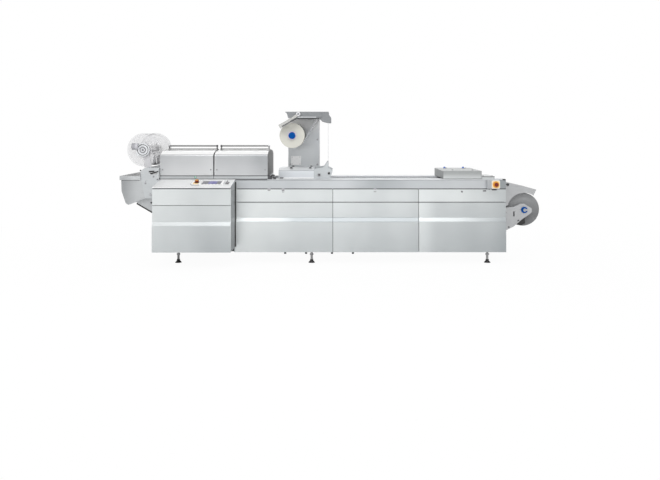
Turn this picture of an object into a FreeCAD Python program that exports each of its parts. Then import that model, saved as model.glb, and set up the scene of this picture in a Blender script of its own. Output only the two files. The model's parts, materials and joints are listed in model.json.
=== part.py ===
import FreeCAD, Part
import math
import os
import re
import Sketcher

# Thermoforming tray sealer, in millimetres. +X runs along the machine from the discharge end to the reel
# of bottom film, +Y points away from the operator, +Z is up. The origin is on the floor under the middle.

SIZES = {
    # Machine body
    "body_length": 4236,
    "body_depth": 860,
    "cover_bottom": 136,
    "cover_depth": 20,
    "cover_gap": 6,
    "cover_bend": 24,
    "seam_height": 745,
    "waist_bottom": 507,
    "waist_rise": 48,
    "waist_out": 18,
    "rail_bottom": 907,
    "rail_height": 113,
    "rail_chamfer": 14,
    "rail_gap": 4,
    "right_bay": 1065,
    "middle_bay": 1048,
    "frame_bottom": 140,
    "beam_width": 56,
    "beam_depth": 30,
    # Lugs under the body, measured along it from the middle foot
    "lug_far_left": -324,
    "lug_near_left": -68,
    "lug_near_right": 249,
    "lug_far_right": 506,
    "lug_width": 26,
    "lug_depth": 20,
    "lug_drop": 28,
    # Levelling feet
    "left_foot_in": 228,
    "right_foot_in": 217,
    "foot_middle": -254,
    "foot_inset": 50,
    "foot_radius": 41,
    "foot_bell": 32,
    "spindle_radius": 14,
    # Control cabinet and its sloped desk
    "cabinet_reach": 380,
    "cabinet_from_left": 22,
    "cabinet_width": 914,
    "cabinet_bottom": 200,
    "cabinet_top": 943,
    "cabinet_gap": 24,
    "cabinet_return": 18,
    "desk_lip": 6,
    "desk_edge": 9,
    "desk_bend": 5,
    "desk_back": 1018,
    "desk_clear": 2,
    "controls_up": 190,
    "panel_across": 662,
    "panel_width": 258,
    "panel_height": 172,
    "panel_depth": 9,
    "panel_corner": 18,
    "screen_border": 17,
    "screen_recess": 2,
    "key_across": 844,
    "key_radius": 14,
    "key_height": 20,
    # Emergency stops
    "desk_stop_across": 484,
    "stop_plate": 88,
    "stop_plate_depth": 8,
    "stop_corner": 12,
    "stop_stem": 13,
    "stop_stem_height": 12,
    "stop_radius": 21,
    "stop_height": 34,
    "stop_case_in": 91,
    "stop_case_length": 151,
    "stop_case_depth": 70,
    "stop_case_drop": 6,
    "stop_from_case_end": 48,
    # Bottom film with its formed pockets
    "web_height": 994,
    "web_film": 3,
    "film_width": 430,
    "deck_drop": 58,
    "pocket_rows": 4,
    "pocket_pitch": 300,
    "pocket_length": 262,
    "pocket_width": 178,
    "pocket_depth": 44,
    "pocket_corner": 22,
    "pocket_draft": 4,
    "pocket_land": 30,
    "pocket_from_inlet": 116,
    # Cutting section under its two lids
    "hood_from_left": 5,
    "hood_length": 1318,
    "hood_gap": 14,
    "hood_setback": 40,
    "sill_height": 47,
    "sill_width": 40,
    "hood_wall": 251,
    "eaves_rise": 39,
    "eaves_in": 100,
    "ridge_rise": 23,
    "hood_bend": 20,
    "hood_sheet": 4,
    "hood_rest": 1,
    "end_plate_depth": 10,
    "rod_height": 42,
    "rod_radius": 9,
    "rod_post": 16,
    "rod_inset": 12,
    "hinge_radius": 12,
    "hinge_pin": 6,
    "hinge_out": 16,
    "hinge_lift": 16,
    "hinge_length": 90,
    "hinge_inset": 90,
    "hinge_lug": 14,
    "hinge_lug_depth": 11,
    "hinge_drop": 26,
    "hinge_clear": 5,
    # Sealing station and the inlet of the lidding film
    "station_from_hood": 121,
    "station_length": 441,
    "station_inset": 200,
    "station_wall": 89,
    "station_crown": 34,
    "station_slope": 110,
    "station_bend": 14,
    "plinth_in": 58,
    "plinth_height": 22,
    "plinth_out": 9,
    "inlet_length": 237,
    "inlet_sheet": 12,
    "inlet_top": 118,
    "inlet_shoulder": 99,
    "inlet_toe_in": 31,
    "inlet_toe_height": 30,
    "inlet_fin_in": 56,
    "inlet_fin_width": 16,
    "inlet_fin_height": 199,
    "inlet_fin_root": 60,
    "inlet_rise": 18,
    "inlet_boss_in": 160,
    "inlet_boss_height": 45,
    "inlet_boss_radius": 21,
    "inlet_boss_out": 8,
    # Film tower
    "column_from_station": 87,
    "column_width": 415,
    "column_inset": 700,
    "column_depth": 110,
    "column_corner": 10,
    "tower_top": 1851,
    "head_from_column": 5,
    "head_out": 124,
    "head_inset": 100,
    "head_height": 78,
    "head_sheet": 10,
    "head_nose": 21,
    "head_nose_drop": 29,
    "head_neck": 34,
    "lobe_out": 31,
    "lobe_start": 29,
    "lobe_shoulder": 72,
    "lobe_drop": 136,
    "lobe_width": 80,
    "lobe_root": 117,
    "lobe_rise": 21,
    "roller_radius": 22,
    "upper_roller_in": 102,
    "upper_roller_drop": 51,
    "turn_roller_in": 30,
    "turn_roller_drop": 98,
    "inlet_roller_rise": 22,
    # Reel of lidding film, and the arm that rests on it
    "reel_from_column": 81,
    "reel_drop": 295,
    "top_reel_radius": 157,
    "shaft_radius": 20,
    "core_radius": 38,
    "chuck_radius": 42,
    "chuck_reach": 45,
    "pivot_from_column": 166,
    "pivot_drop": 29,
    "arm_slope": 30,
    "arm_sheet": 12,
    "arm_gap": 8,
    "arm_pin": 13,
    "arm_hub": 28,
    "arm_link": 16,
    "arm_before": 75,
    "arm_after": 87,
    "arm_hang": 17,
    "arm_rise": 36,
    "arm_beam_after": 28,
    "arm_corner": 8,
    # Lidding film
    "lid_film": 1.5,
    "film_edge": 2,
    "film_tail": 60,
    "reel_gap": 6,
    # Forming and heating stations
    "forming_from_right": 271,
    "forming_length": 477,
    "forming_inset": 100,
    "forming_depth": 735,
    "forming_height": 100,
    "forming_corner": 12,
    "forming_bevel": 5,
    "heating_length": 159,
    "heating_depth": 330,
    "heating_height": 34,
    # Reel of bottom film, its arms and the splice table
    "bottom_reel_out": 264,
    "bottom_reel_z": 633,
    "bottom_reel_radius": 206,
    "arm_outside": 60,
    "bottom_arm_drop": 275,
    "bottom_arm_heel": 128,
    "bottom_arm_heel_drop": 206,
    "bottom_arm_waist": 29,
    "bottom_arm_waist_drop": 119,
    "bottom_arm_chin": 71,
    "bottom_arm_chin_drop": 51,
    "bottom_arm_nose": 95,
    "bottom_arm_nose_drop": 26,
    "bottom_arm_nose_rise": 17,
    "bottom_arm_crest": 76,
    "bottom_arm_brow": 47,
    "bottom_arm_shoulder": 38,
    "bottom_arm_root": 24,
    "bottom_arm_corner": 20,
    "arm_slot_in": 128,
    "arm_slot_low": 76,
    "arm_slot_high": 26,
    "arm_slot_radius": 8,
    "shaft_end": 30,
    "core_end": 20,
    "clamp_depth": 18,
    "clamp_wall": 18,
    "clamp_mouth": 24,
    "table_top": 982,
    "table_reach": 413,
    "table_fall": 97,
    "table_sheet": 9,
    "table_lip": 80,
    "table_lip_in": 35,
    "table_cheek_foot": 669,
    "reel_relief": 6,
    # Discharge end
    "trough_out": 461,
    "trough_top": 1063,
    "trough_bend_z": 880,
    "trough_bend_in": 6,
    "trough_heel_z": 734,
    "trough_heel_in": 55,
    "trough_toe_z": 709,
    "trough_toe_in": 86,
    "trough_mouth_in": 213,
    "trough_foot_in": 168,
    "trough_low": 789,
    "trough_lip": 1011,
    "trough_sheet": 4,
    "trough_corner": 26,
    "mouth_drop": 12,
    "rim_height": 48,
    "rim_out": 16,
    "rim_corner": 12,
    "stay_tip_in": 166,
    "stay_inset": 60,
    "stay_drop": 241,
    "bridge_top": 1162,
    "bridge_length": 174,
    "cheek_out": 10,
    "cheek_drop": 38,
    "cheek_slot_in": 17,
    "cheek_slot_length": 92,
    "cheek_slot_drop": 54,
    "cheek_slot_height": 24,
    # Trim winder
    "winder_out": 225,
    "winder_rise": 216,
    "disc_radius": 209,
    "disc_depth": 5,
    "disc_spacing": 554,
    "winder_shaft_radius": 20,
    "post_gap": 6,
    "post_start": 10,
    "post_width": 89,
    "post_head": 62,
    "gearbox_radius": 83,
    "gearbox_depth": 34,
    "motor_start": 54,
    "motor_radius": 40,
    "motor_reach": 126,
    "motor_lift": 43,
    "motor_gap": 4,
    "hub_radius": 84,
    "hub_depth": 20,
    "finger_spread": 42,
    "finger_width": 16,
    # Clearances
    "fit_gap": 0.3,
    "running_gap": 0.5,
}

PLACES = {
    "left": "-body_length / 2",
    "right": "body_length / 2",
    "front": "(cabinet_reach - body_depth) / 2",
    "rear": "(cabinet_reach + body_depth) / 2",
    "middle": "cabinet_reach / 2",
    "waist_top": "waist_bottom + waist_rise",
    "rail_top": "rail_bottom + rail_height",
    "bay_seam_right": "right - right_bay",
    "bay_seam_left": "bay_seam_right - middle_bay",
    "foot_left": "left + left_foot_in",
    "foot_right": "right - right_foot_in",
    "cabinet_left": "left + cabinet_from_left",
    "cabinet_right": "cabinet_left + cabinet_width",
    "cabinet_front": "front - cabinet_reach",
    "desk_slope": "atan((desk_back - cabinet_top - desk_edge) / (cabinet_reach - desk_clear))",
    "stop_case_right": "right - stop_case_in",
    "film_front": "middle - film_width / 2",
    "film_rear": "middle + film_width / 2",
    "rail_inner_front": "film_front - fit_gap",
    "rail_inner_rear": "film_rear + fit_gap",
    "pocket_start": "inlet_right + pocket_from_inlet",
    "hood_left_end": "left + hood_from_left",
    "hood_right_end": "hood_left_end + hood_length",
    "hood_split": "(hood_left_end + hood_right_end) / 2",
    "hood_front": "front + hood_setback",
    "hood_rear": "rear - hood_setback",
    "sill_top": "rail_top + sill_height",
    "hood_shoulder": "sill_top + hood_wall",
    "hood_eaves": "hood_shoulder + eaves_rise",
    "hood_ridge": "hood_eaves + ridge_rise",
    "hinge_y": "hood_rear + hinge_out",
    "hinge_z": "sill_top + hinge_lift",
    "station_left": "hood_right_end + station_from_hood",
    "station_right": "station_left + station_length",
    "station_y": "front + station_inset",
    "station_shoulder": "rail_top + station_wall",
    "station_top": "station_shoulder + station_crown",
    "inlet_right": "station_right + inlet_length",
    "column_left": "station_left + column_from_station",
    "column_right": "column_left + column_width",
    "column_face": "front + column_inset",
    "head_left": "column_left + head_from_column",
    "head_right": "column_right + head_out",
    "head_y": "front + head_inset",
    "upper_roller_x": "head_right - upper_roller_in",
    "upper_roller_z": "tower_top - upper_roller_drop",
    "turn_roller_x": "head_right - turn_roller_in",
    "turn_roller_z": "tower_top - turn_roller_drop",
    "inlet_roller_z": "rail_top + inlet_roller_rise",
    "top_reel_x": "column_left + reel_from_column",
    "top_reel_z": "tower_top - reel_drop",
    "arm_pivot_x": "column_left + pivot_from_column",
    "arm_pivot_z": "tower_top - pivot_drop",
    "forming_right": "right - forming_from_right",
    "forming_left": "forming_right - forming_length",
    "forming_y": "front + forming_inset",
    "bottom_reel_x": "right + bottom_reel_out",
    "arm_front": "film_front - arm_outside",
    "arm_rear": "film_rear + arm_outside",
    "table_right": "right + table_reach",
    "table_end": "table_top - table_fall",
    "trough_left": "left - trough_out",
    "trough_right": "left - trough_mouth_in",
    "trough_toe_x": "trough_left + trough_toe_in",
    "trough_foot_x": "left - trough_foot_in",
    "bridge_left": "left - bridge_length",
    "winder_x": "left - winder_out",
    "winder_z": "bridge_top + winder_rise",
    "disc_front": "middle - disc_spacing / 2",
    "disc_rear": "middle + disc_spacing / 2",
    "gearbox_back": "disc_front - post_gap - arm_sheet",
}

SAME_PLACE = 0.01
TURNS = {"X": FreeCAD.Rotation(FreeCAD.Vector(0, 1, 0), 90),
         "Y": FreeCAD.Rotation(FreeCAD.Vector(1, 0, 0), -90),
         "-Y": FreeCAD.Rotation(FreeCAD.Vector(1, 0, 0), 90),
         "Z": FreeCAD.Rotation()}


def spelled(text):
    """Writes an expression in full: a size gets the sheet's name, a place its own expression."""
    def spell(match):
        word = match.group(0)
        if word in SIZES:
            return "Sizes." + word
        if word in PLACES:
            return "(" + spelled(PLACES[word]) + ")"
        return word
    return re.sub(r"[a-z][a-z0-9_]*", spell, str(text))


def value(text):
    return float(sheet.evalExpression(spelled(text)))


def bind(item, **properties):
    for name, text in properties.items():
        item.setExpression(name.replace("__", "."), spelled(text))
    return item


def place(item, x=None, y=None, z=None):
    for axis, text in (("x", x), ("y", y), ("z", z)):
        if text is not None:
            item.setExpression("Placement.Base." + axis, spelled(text))
    return item


def box(name, x, y, z):
    """A block between two places along each axis."""
    item = doc.addObject("Part::Box", name)
    bind(item, Length=f"({x[1]}) - ({x[0]})", Width=f"({y[1]}) - ({y[0]})", Height=f"({z[1]}) - ({z[0]})")
    return place(item, x[0], y[0], z[0])


def bar(name, axis, centre, radius, ends):
    """A round bar along X, Y or Z, from one place on that axis to another."""
    item = doc.addObject("Part::Cylinder", name)
    item.Placement = FreeCAD.Placement(FreeCAD.Vector(), TURNS[axis])
    bind(item, Radius=radius, Height=f"({ends[1]}) - ({ends[0]})")
    spots = {"X": (ends[0], *centre), "Y": (centre[0], ends[0], centre[1]), "Z": (*centre, ends[0])}
    return place(item, *spots[axis])


def new_sketch(body, name, plane):
    sketch = body.newObject("Sketcher::SketchObject", name)
    origin = [item for item in body.Origin.OriginFeatures if item.Role == plane + "_Plane"][0]
    sketch.AttachmentSupport = [(origin, "")]
    sketch.MapMode = "FlatFace"
    return sketch


def fix(sketch, kind, index, point, text):
    """Holds one point of a sketch at a place along one axis."""
    number = sketch.addConstraint(Sketcher.Constraint(kind, -1, 1, index, point, value(text)))
    sketch.setExpression(f"Constraints[{number}]", spelled(text))


def outline(body, name, plane, points):
    """A closed outline of straight runs whose corners follow the sizes."""
    sketch = new_sketch(body, name, plane)
    spots = [FreeCAD.Vector(value(across), value(up), 0) for across, up in points]
    count = len(points)
    for index in range(count):
        sketch.addGeometry(Part.LineSegment(spots[index], spots[(index + 1) % count]), False)
    for index in range(count):
        sketch.addConstraint(Sketcher.Constraint("Coincident", index, 2, (index + 1) % count, 1))
    for index, (across, up) in enumerate(points):
        fix(sketch, "DistanceX", index, 1, across)
        fix(sketch, "DistanceY", index, 1, up)
    return sketch


def rounded_outline(body, name, plane, near, far, corner):
    """A rectangle between two corner places, with round corners."""
    sketch = new_sketch(body, name, plane)
    (left, low), (right, high) = [(value(across), value(up)) for across, up in (near, far)]
    radius = value(corner)
    centres = [(right - radius, low + radius), (right - radius, high - radius),
               (left + radius, high - radius), (left + radius, low + radius)]
    runs = [((left + radius, low), (right - radius, low)), ((right, low + radius), (right, high - radius)),
            ((right - radius, high), (left + radius, high)), ((left, high - radius), (left, low + radius))]
    for start, end in runs:
        sketch.addGeometry(Part.LineSegment(FreeCAD.Vector(*start, 0), FreeCAD.Vector(*end, 0)), False)
    for quarter, (across, up) in enumerate(centres):
        circle = Part.Circle(FreeCAD.Vector(across, up, 0), FreeCAD.Vector(0, 0, 1), radius)
        start = (quarter - 1) * math.pi / 2
        sketch.addGeometry(Part.ArcOfCircle(circle, start, start + math.pi / 2), False)
    for side in range(4):
        sketch.addConstraint(Sketcher.Constraint("Tangent", side, 2, side + 4, 1))
        sketch.addConstraint(Sketcher.Constraint("Tangent", side + 4, 2, (side + 1) % 4, 1))
        sketch.addConstraint(Sketcher.Constraint("Horizontal" if side % 2 == 0 else "Vertical", side))
    for side in (5, 6, 7):
        sketch.addConstraint(Sketcher.Constraint("Equal", 4, side))
    number = sketch.addConstraint(Sketcher.Constraint("Radius", 4, radius))
    sketch.setExpression(f"Constraints[{number}]", spelled(corner))
    fix(sketch, "DistanceY", 0, 1, near[1])
    fix(sketch, "DistanceX", 1, 1, far[0])
    fix(sketch, "DistanceY", 2, 1, far[1])
    fix(sketch, "DistanceX", 3, 1, near[0])
    return sketch


def padded(body, sketch, length):
    pad = body.newObject("PartDesign::Pad", sketch.Name + "_pad")
    pad.Profile = (sketch, [""])
    bind(pad, Length=length)
    return pad


def profile(name, plane, points, ends, corners=(), radius=None):
    """A solid of one outline in the XY, XZ or YZ plane, from one place to another across it.

    The edges that run across it at the numbered corners are rounded.
    """
    body = doc.addObject("PartDesign::Body", name)
    padded(body, outline(body, name + "_outline", plane, points), f"({ends[1]}) - ({ends[0]})")
    if corners:
        round_edges(body, plane, [points[corner] for corner in corners], radius)
    starts = {"XY": {"z": ends[0]}, "XZ": {"y": ends[1]}, "YZ": {"x": ends[0]}}
    return place(body, **starts[plane])


def round_edges(body, plane, spots, radius):
    """Rounds the edges of a padded outline that run across it at these places."""
    doc.recompute()
    across, up = plane[0].lower(), plane[1].lower()
    spots = [(value(spot[0]), value(spot[1])) for spot in spots]
    names = []
    for number, edge in enumerate(body.Tip.Shape.Edges, 1):
        ends = [(getattr(end.Point, across), getattr(end.Point, up)) for end in edge.Vertexes]
        if any(all(math.dist(end, spot) < SAME_PLACE for end in ends) for spot in spots):
            names.append(f"Edge{number}")
    dress(body, "PartDesign::Fillet", names, Radius=radius)


def dress(body, kind, names, **properties):
    """A fillet, chamfer or shell on the named edges or faces of a body as it stands."""
    base = body.Tip
    feature = body.newObject(kind, body.Name + "_" + kind.split("::")[1].lower())
    feature.Base = (base, names)
    body.Tip = feature
    return bind(feature, **properties)


def flat_faces(body, axis, spot):
    """The names of the faces of a body that lie at one place along an axis of its own."""
    return [f"Face{number}" for number, face in enumerate(body.Tip.Shape.Faces, 1)
            if all(abs(getattr(corner.Point, axis) - spot) < SAME_PLACE for corner in face.Vertexes)]


def hollowed(body, open_faces, wall):
    """Turns a solid into sheet of one thickness, open at some of its faces."""
    shell = dress(body, "PartDesign::Thickness", open_faces, Value=wall)
    shell.Mode = "Skin"
    shell.Join = "Intersection"
    shell.Reversed = True
    return body


def turned(name, points, axis, x, y, z):
    """A solid turned about an axis from half of its section: (radius, distance along the axis)."""
    body = doc.addObject("PartDesign::Body", name)
    sketch = outline(body, name + "_section", "XZ", points)
    turn = body.newObject("PartDesign::Revolution", name + "_turn")
    turn.Profile = (sketch, [""])
    turn.ReferenceAxis = (sketch, ["V_Axis"])
    turn.Angle = 360
    body.Placement = FreeCAD.Placement(FreeCAD.Vector(), TURNS[axis])
    return place(body, x, y, z)


def joined(name, items):
    item = doc.addObject("Part::MultiFuse", name)
    item.Shapes = items
    item.Refine = True
    return item


def without(name, base, *tools):
    item = doc.addObject("Part::Cut", name)
    item.Base = base
    item.Tool = tools[0] if len(tools) == 1 else together(name + "_tools", list(tools))
    return item


def together(name, items):
    item = doc.addObject("Part::Compound", name)
    item.Links = items
    return item


def keep(item, label):
    """Names a finished sub-part."""
    item.Label = label
    finished.append(item)
    return item


def machine_frame():
    core = box("frame_core", ("left + cover_depth", "right - cover_depth"),
               ("front + cover_depth", "rear - cover_depth"), ("frame_bottom + beam_depth", "rail_bottom"))
    pieces = [core]
    for side, middle in (("front", "front + foot_inset"), ("rear", "rear - foot_inset")):
        pieces.append(box(side + "_beam", ("left + cover_depth", "right - cover_depth"),
                          (f"{middle} - beam_width / 2", f"{middle} + beam_width / 2"),
                          ("frame_bottom", "frame_bottom + beam_depth")))
    for spot in ("foot_left", "foot_middle", "foot_right"):
        pieces.append(box(spot + "_crossbeam", (f"{spot} - beam_width / 2", f"{spot} + beam_width / 2"),
                          ("front + foot_inset", "rear - foot_inset"),
                          ("frame_bottom", "frame_bottom + beam_depth")))
    lug_start = "front + foot_inset - beam_width / 2"
    for spot in ("lug_far_left", "lug_near_left", "lug_near_right", "lug_far_right"):
        pieces.append(box(spot + "_block", (f"foot_middle + {spot} - lug_width / 2",
                                            f"foot_middle + {spot} + lug_width / 2"),
                          (lug_start, f"{lug_start} + lug_depth"),
                          ("cover_bottom - lug_drop", "frame_bottom + beam_depth / 2")))
    keep(joined("frame", pieces), "machine_frame")


def levelling_feet():
    section = [("0", "0"), ("foot_radius", "0"), ("spindle_radius", "foot_bell"),
               ("spindle_radius", "frame_bottom"), ("0", "frame_bottom")]
    for side, y in (("front", "front + foot_inset"), ("rear", "rear - foot_inset")):
        feet = [turned(f"{side}_{x}", section, "Z", x, y, "0")
                for x in ("foot_left", "foot_middle", "foot_right")]
        keep(together(side + "_feet", feet), side + "_levelling_feet")


def cover_section(plane, sign, bottom):
    """The outline of a lower cover with its waist bent out; sign is +1 where inwards is +Y."""
    inner = f"{plane} + {sign} * cover_depth"
    outer = f"{plane} - {sign} * waist_out"
    top = "seam_height - cover_gap / 2"
    return [(inner, bottom), (outer, bottom), (outer, "waist_bottom"), (plane, "waist_top"), (plane, top),
            (inner, top)]


def lower_cover(name, plane, sign, bottom, ends):
    return profile(name, "YZ", cover_section(plane, sign, bottom), ends, (2, 3), "cover_bend")


def upper_cover(name, plane, sign, top, ends):
    inner = f"{plane} + {sign} * cover_depth"
    bottom = "seam_height + cover_gap / 2"
    return profile(name, "YZ", [(inner, bottom), (plane, bottom), (plane, top), (inner, top)], ends)


def body_covers():
    bays = [("cabinet_right - cabinet_return + cover_gap", "bay_seam_left - cover_gap / 2"),
            ("bay_seam_left + cover_gap / 2", "bay_seam_right - cover_gap / 2"),
            ("bay_seam_right + cover_gap / 2", "right")]
    top = "rail_bottom - rail_gap"
    for number, ends in enumerate(bays, 1):
        keep(lower_cover(f"lower_{number}", "front", 1, "cover_bottom", ends), f"front_lower_cover_{number}")
        keep(upper_cover(f"upper_{number}", "front", 1, top, ends), f"front_upper_cover_{number}")
    rear_bays = [("left", "cabinet_right - cover_gap / 2"), ("cabinet_right + cover_gap / 2", bays[0][1])]
    rear_bays += bays[1:]
    lower = [lower_cover(f"rear_lower_{number}", "rear", -1, "cover_bottom", ends)
             for number, ends in enumerate(rear_bays, 1)]
    upper = [upper_cover(f"rear_upper_{number}", "rear", -1, top, ends)
             for number, ends in enumerate(rear_bays, 1)]
    keep(together("rear_lower", lower), "rear_lower_covers")
    keep(together("rear_upper", upper), "rear_upper_covers")


def end_covers():
    heights = ("cover_bottom", "rail_bottom - rail_gap")
    keep(box("left_end", ("left", "left + cover_depth"), ("front", "rear - cover_depth - cover_gap"), heights),
         "left_end_cover")
    keep(box("right_end", ("right - cover_depth", "right"),
             ("front + cover_depth + cover_gap", "rear - cover_depth - cover_gap"), heights), "right_end_cover")


def side_rails():
    for name, plane, inner, sign in (("front_side_rail", "front", "rail_inner_front", 1),
                                     ("rear_side_rail", "rear", "rail_inner_rear", -1)):
        section = [(inner, "rail_bottom"), (plane, "rail_bottom"), (plane, "rail_top - rail_chamfer"),
                   (f"{plane} + {sign} * rail_chamfer", "rail_top"), (inner, "rail_top")]
        keep(profile(name + "_bar", "YZ", section, ("left", "right")), name)


def web_deck():
    keep(box("deck", ("left", "right"), ("rail_inner_front", "rail_inner_rear"),
             ("rail_bottom", "web_height - deck_drop")), "web_deck")


def formed_web():
    """The bottom film on its way from the forming station, with two lanes of drafted pockets."""
    edges = [("left", "film_front"), ("right", "film_front"), ("right", "film_rear"), ("left", "film_rear")]
    body = profile("web", "XY", edges, ("web_height", "web_height + web_film"))
    for number, lane in enumerate(("middle - pocket_land / 2 - pocket_width", "middle + pocket_land / 2"), 1):
        pocket_row(body, f"outside_{number}", lane, "web_film", "PartDesign::Pad")
    for number, lane in enumerate(("middle - pocket_land / 2 - pocket_width", "middle + pocket_land / 2"), 1):
        pocket_row(body, f"inside_{number}", lane, "0", "PartDesign::Pocket")
    keep(body, "formed_web")


def cut_corners(near, far, cut):
    """The eight corners of a rectangle between two places, with its own corners cut off."""
    (left, low), (right, high) = near, far
    return [(f"{left} + {cut}", low), (f"{right} - {cut}", low), (right, f"{low} + {cut}"),
            (right, f"{high} - {cut}"), (f"{right} - {cut}", high), (f"{left} + {cut}", high),
            (left, f"{high} - {cut}"), (left, f"{low} + {cut}")]


def pocket_row(body, name, lane, wall, kind):
    """One lane of pockets: their outer form added below the film, or their hollow cut from above."""
    near = (f"pocket_start - ({wall})", f"{lane} - ({wall})")
    far = (f"pocket_start + pocket_length + ({wall})", f"{lane} + pocket_width + ({wall})")
    sketch = outline(body, "pocket_" + name, "XY", cut_corners(near, far, "pocket_corner"))
    feature = body.newObject(kind, f"pocket_{name}_form")
    feature.Profile = (sketch, [""])
    feature.Reversed = kind == "PartDesign::Pad"
    if kind == "PartDesign::Pocket":
        sketch.setExpression("AttachmentOffset.Base.z", spelled("web_film"))
    bind(feature, Length="pocket_depth", TaperAngle="-pocket_draft")
    doc.recompute()
    rows = body.newObject("PartDesign::LinearPattern", f"pocket_{name}_rows")
    rows.Originals = [feature]
    rows.Direction = (sketch, ["H_Axis"])
    bind(rows, Length="pocket_pitch * (pocket_rows - 1)", Occurrences="pocket_rows")
    body.Tip = rows
    doc.recompute()


def control_cabinet():
    plan = [("cabinet_left", "cabinet_front + cover_depth"), ("cabinet_right", "cabinet_front + cover_depth"),
            ("cabinet_right", "front - cabinet_gap"), ("cabinet_right - cabinet_return", "front - cabinet_gap"),
            ("cabinet_right - cabinet_return", "front + cover_depth"), ("cabinet_left", "front + cover_depth")]
    keep(profile("cabinet_box", "XY", plan, ("cabinet_bottom", "rail_bottom")), "cabinet_housing")
    ends = ("cabinet_left", "cabinet_right")
    keep(lower_cover("cabinet_lower", "cabinet_front", 1, "cabinet_bottom", ends), "cabinet_lower_cover")
    keep(upper_cover("cabinet_upper", "cabinet_front", 1, "cabinet_top", ends), "cabinet_upper_cover")


def desk_point(along, above):
    """A place on the sloped desk: so far up its slope from the front edge, and so far off its face."""
    return (f"cabinet_front + ({along}) * cos(desk_slope) - ({above}) * sin(desk_slope)",
            f"cabinet_top + desk_edge + ({along}) * sin(desk_slope) + ({above}) * cos(desk_slope)")


def operator_desk():
    section = [("cabinet_front + cover_depth", "rail_bottom"),
               ("cabinet_front + cover_depth", "cabinet_top + desk_lip"), ("cabinet_front", "cabinet_top + desk_lip"),
               desk_point("0", "desk_bend"), desk_point("desk_bend", "desk_bend"),
               ("front - desk_clear", "desk_back + desk_bend"), ("front - desk_clear", "rail_bottom")]
    keep(profile("desk", "YZ", section, ("cabinet_left", "cabinet_right"), (3,), "desk_bend"), "operator_desk")


def on_desk(body, across, above="0"):
    """Lays a body on the sloped desk at the height of the controls."""
    body.Placement = FreeCAD.Placement(FreeCAD.Vector(), FreeCAD.Rotation(FreeCAD.Vector(1, 0, 0), 10))
    bind(body, Placement__Rotation__Angle="desk_slope")
    y, z = desk_point("controls_up", f"desk_bend + ({above})")
    return place(body, f"cabinet_left + {across}", y, z)


def touch_panel():
    """The panel's frame with round corners, and its screen a little below it."""
    body = doc.addObject("PartDesign::Body", "panel")
    half = ("panel_width / 2", "panel_height / 2")
    frame = rounded_outline(body, "panel_outline", "XY", (f"-{half[0]}", f"-{half[1]}"), half, "panel_corner")
    padded(body, frame, "panel_depth")
    inner = ("panel_width / 2 - screen_border", "panel_height / 2 - screen_border")
    screen = outline(body, "screen", "XY", [(f"-({inner[0]})", f"-({inner[1]})"), (inner[0], f"-({inner[1]})"),
                                            inner, (f"-({inner[0]})", inner[1])])
    screen.setExpression("AttachmentOffset.Base.z", spelled("panel_depth"))
    recess = body.newObject("PartDesign::Pocket", "screen_recess")
    recess.Profile = (screen, [""])
    bind(recess, Length="screen_recess")
    keep(on_desk(body, "panel_across"), "touch_panel")


def mushroom():
    """The section of an emergency stop's push: a stem under a wide cap."""
    return [("0", "0"), ("stop_stem", "0"), ("stop_stem", "stop_stem_height"), ("stop_radius", "stop_stem_height"),
            ("stop_radius", "stop_height"), ("0", "stop_height")]


def stop_plate(name, plane):
    """The square plate behind an emergency stop, with its corners cut, about its own middle."""
    corners = cut_corners(("-stop_plate / 2", "-stop_plate / 2"), ("stop_plate / 2", "stop_plate / 2"),
                          "stop_corner")
    return profile(name, plane, corners, ("0", "stop_plate_depth"))


def desk_controls():
    touch_panel()
    face = on_desk(stop_plate("desk_stop_plate", "XY"), "desk_stop_across")
    push = on_desk(turned("desk_stop_push", mushroom(), "Z", "0", "0", "0"), "desk_stop_across",
                   "stop_plate_depth")
    keep(joined("desk_stop", [face, push]), "desk_emergency_stop")
    switch = [("0", "0"), ("key_radius", "0"), ("key_radius", "key_height"), ("0", "key_height")]
    keep(on_desk(turned("key", switch, "Z", "0", "0", "0"), "key_across"), "key_switch")


def end_stop():
    face = "front - stop_case_depth"
    low, high = "rail_bottom + cover_gap", "rail_top - stop_case_drop"
    section = [("stop_case_right - stop_case_length", "front"), ("stop_case_right - stop_case_length", face),
               ("stop_case_right", face), ("stop_case_right", "front")]
    keep(profile("stop_case", "XY", section, (low, high), (1, 2), "stop_corner"), "end_stop_case")
    middle = ("stop_case_right - stop_from_case_end", f"(({low}) + ({high})) / 2")
    back = place(stop_plate("end_stop_plate", "XZ"), middle[0], face, middle[1])
    push = turned("end_stop_push", mushroom(), "-Y", middle[0], f"{face} - stop_plate_depth", middle[1])
    keep(joined("end_stop", [back, push]), "end_emergency_stop")


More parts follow.
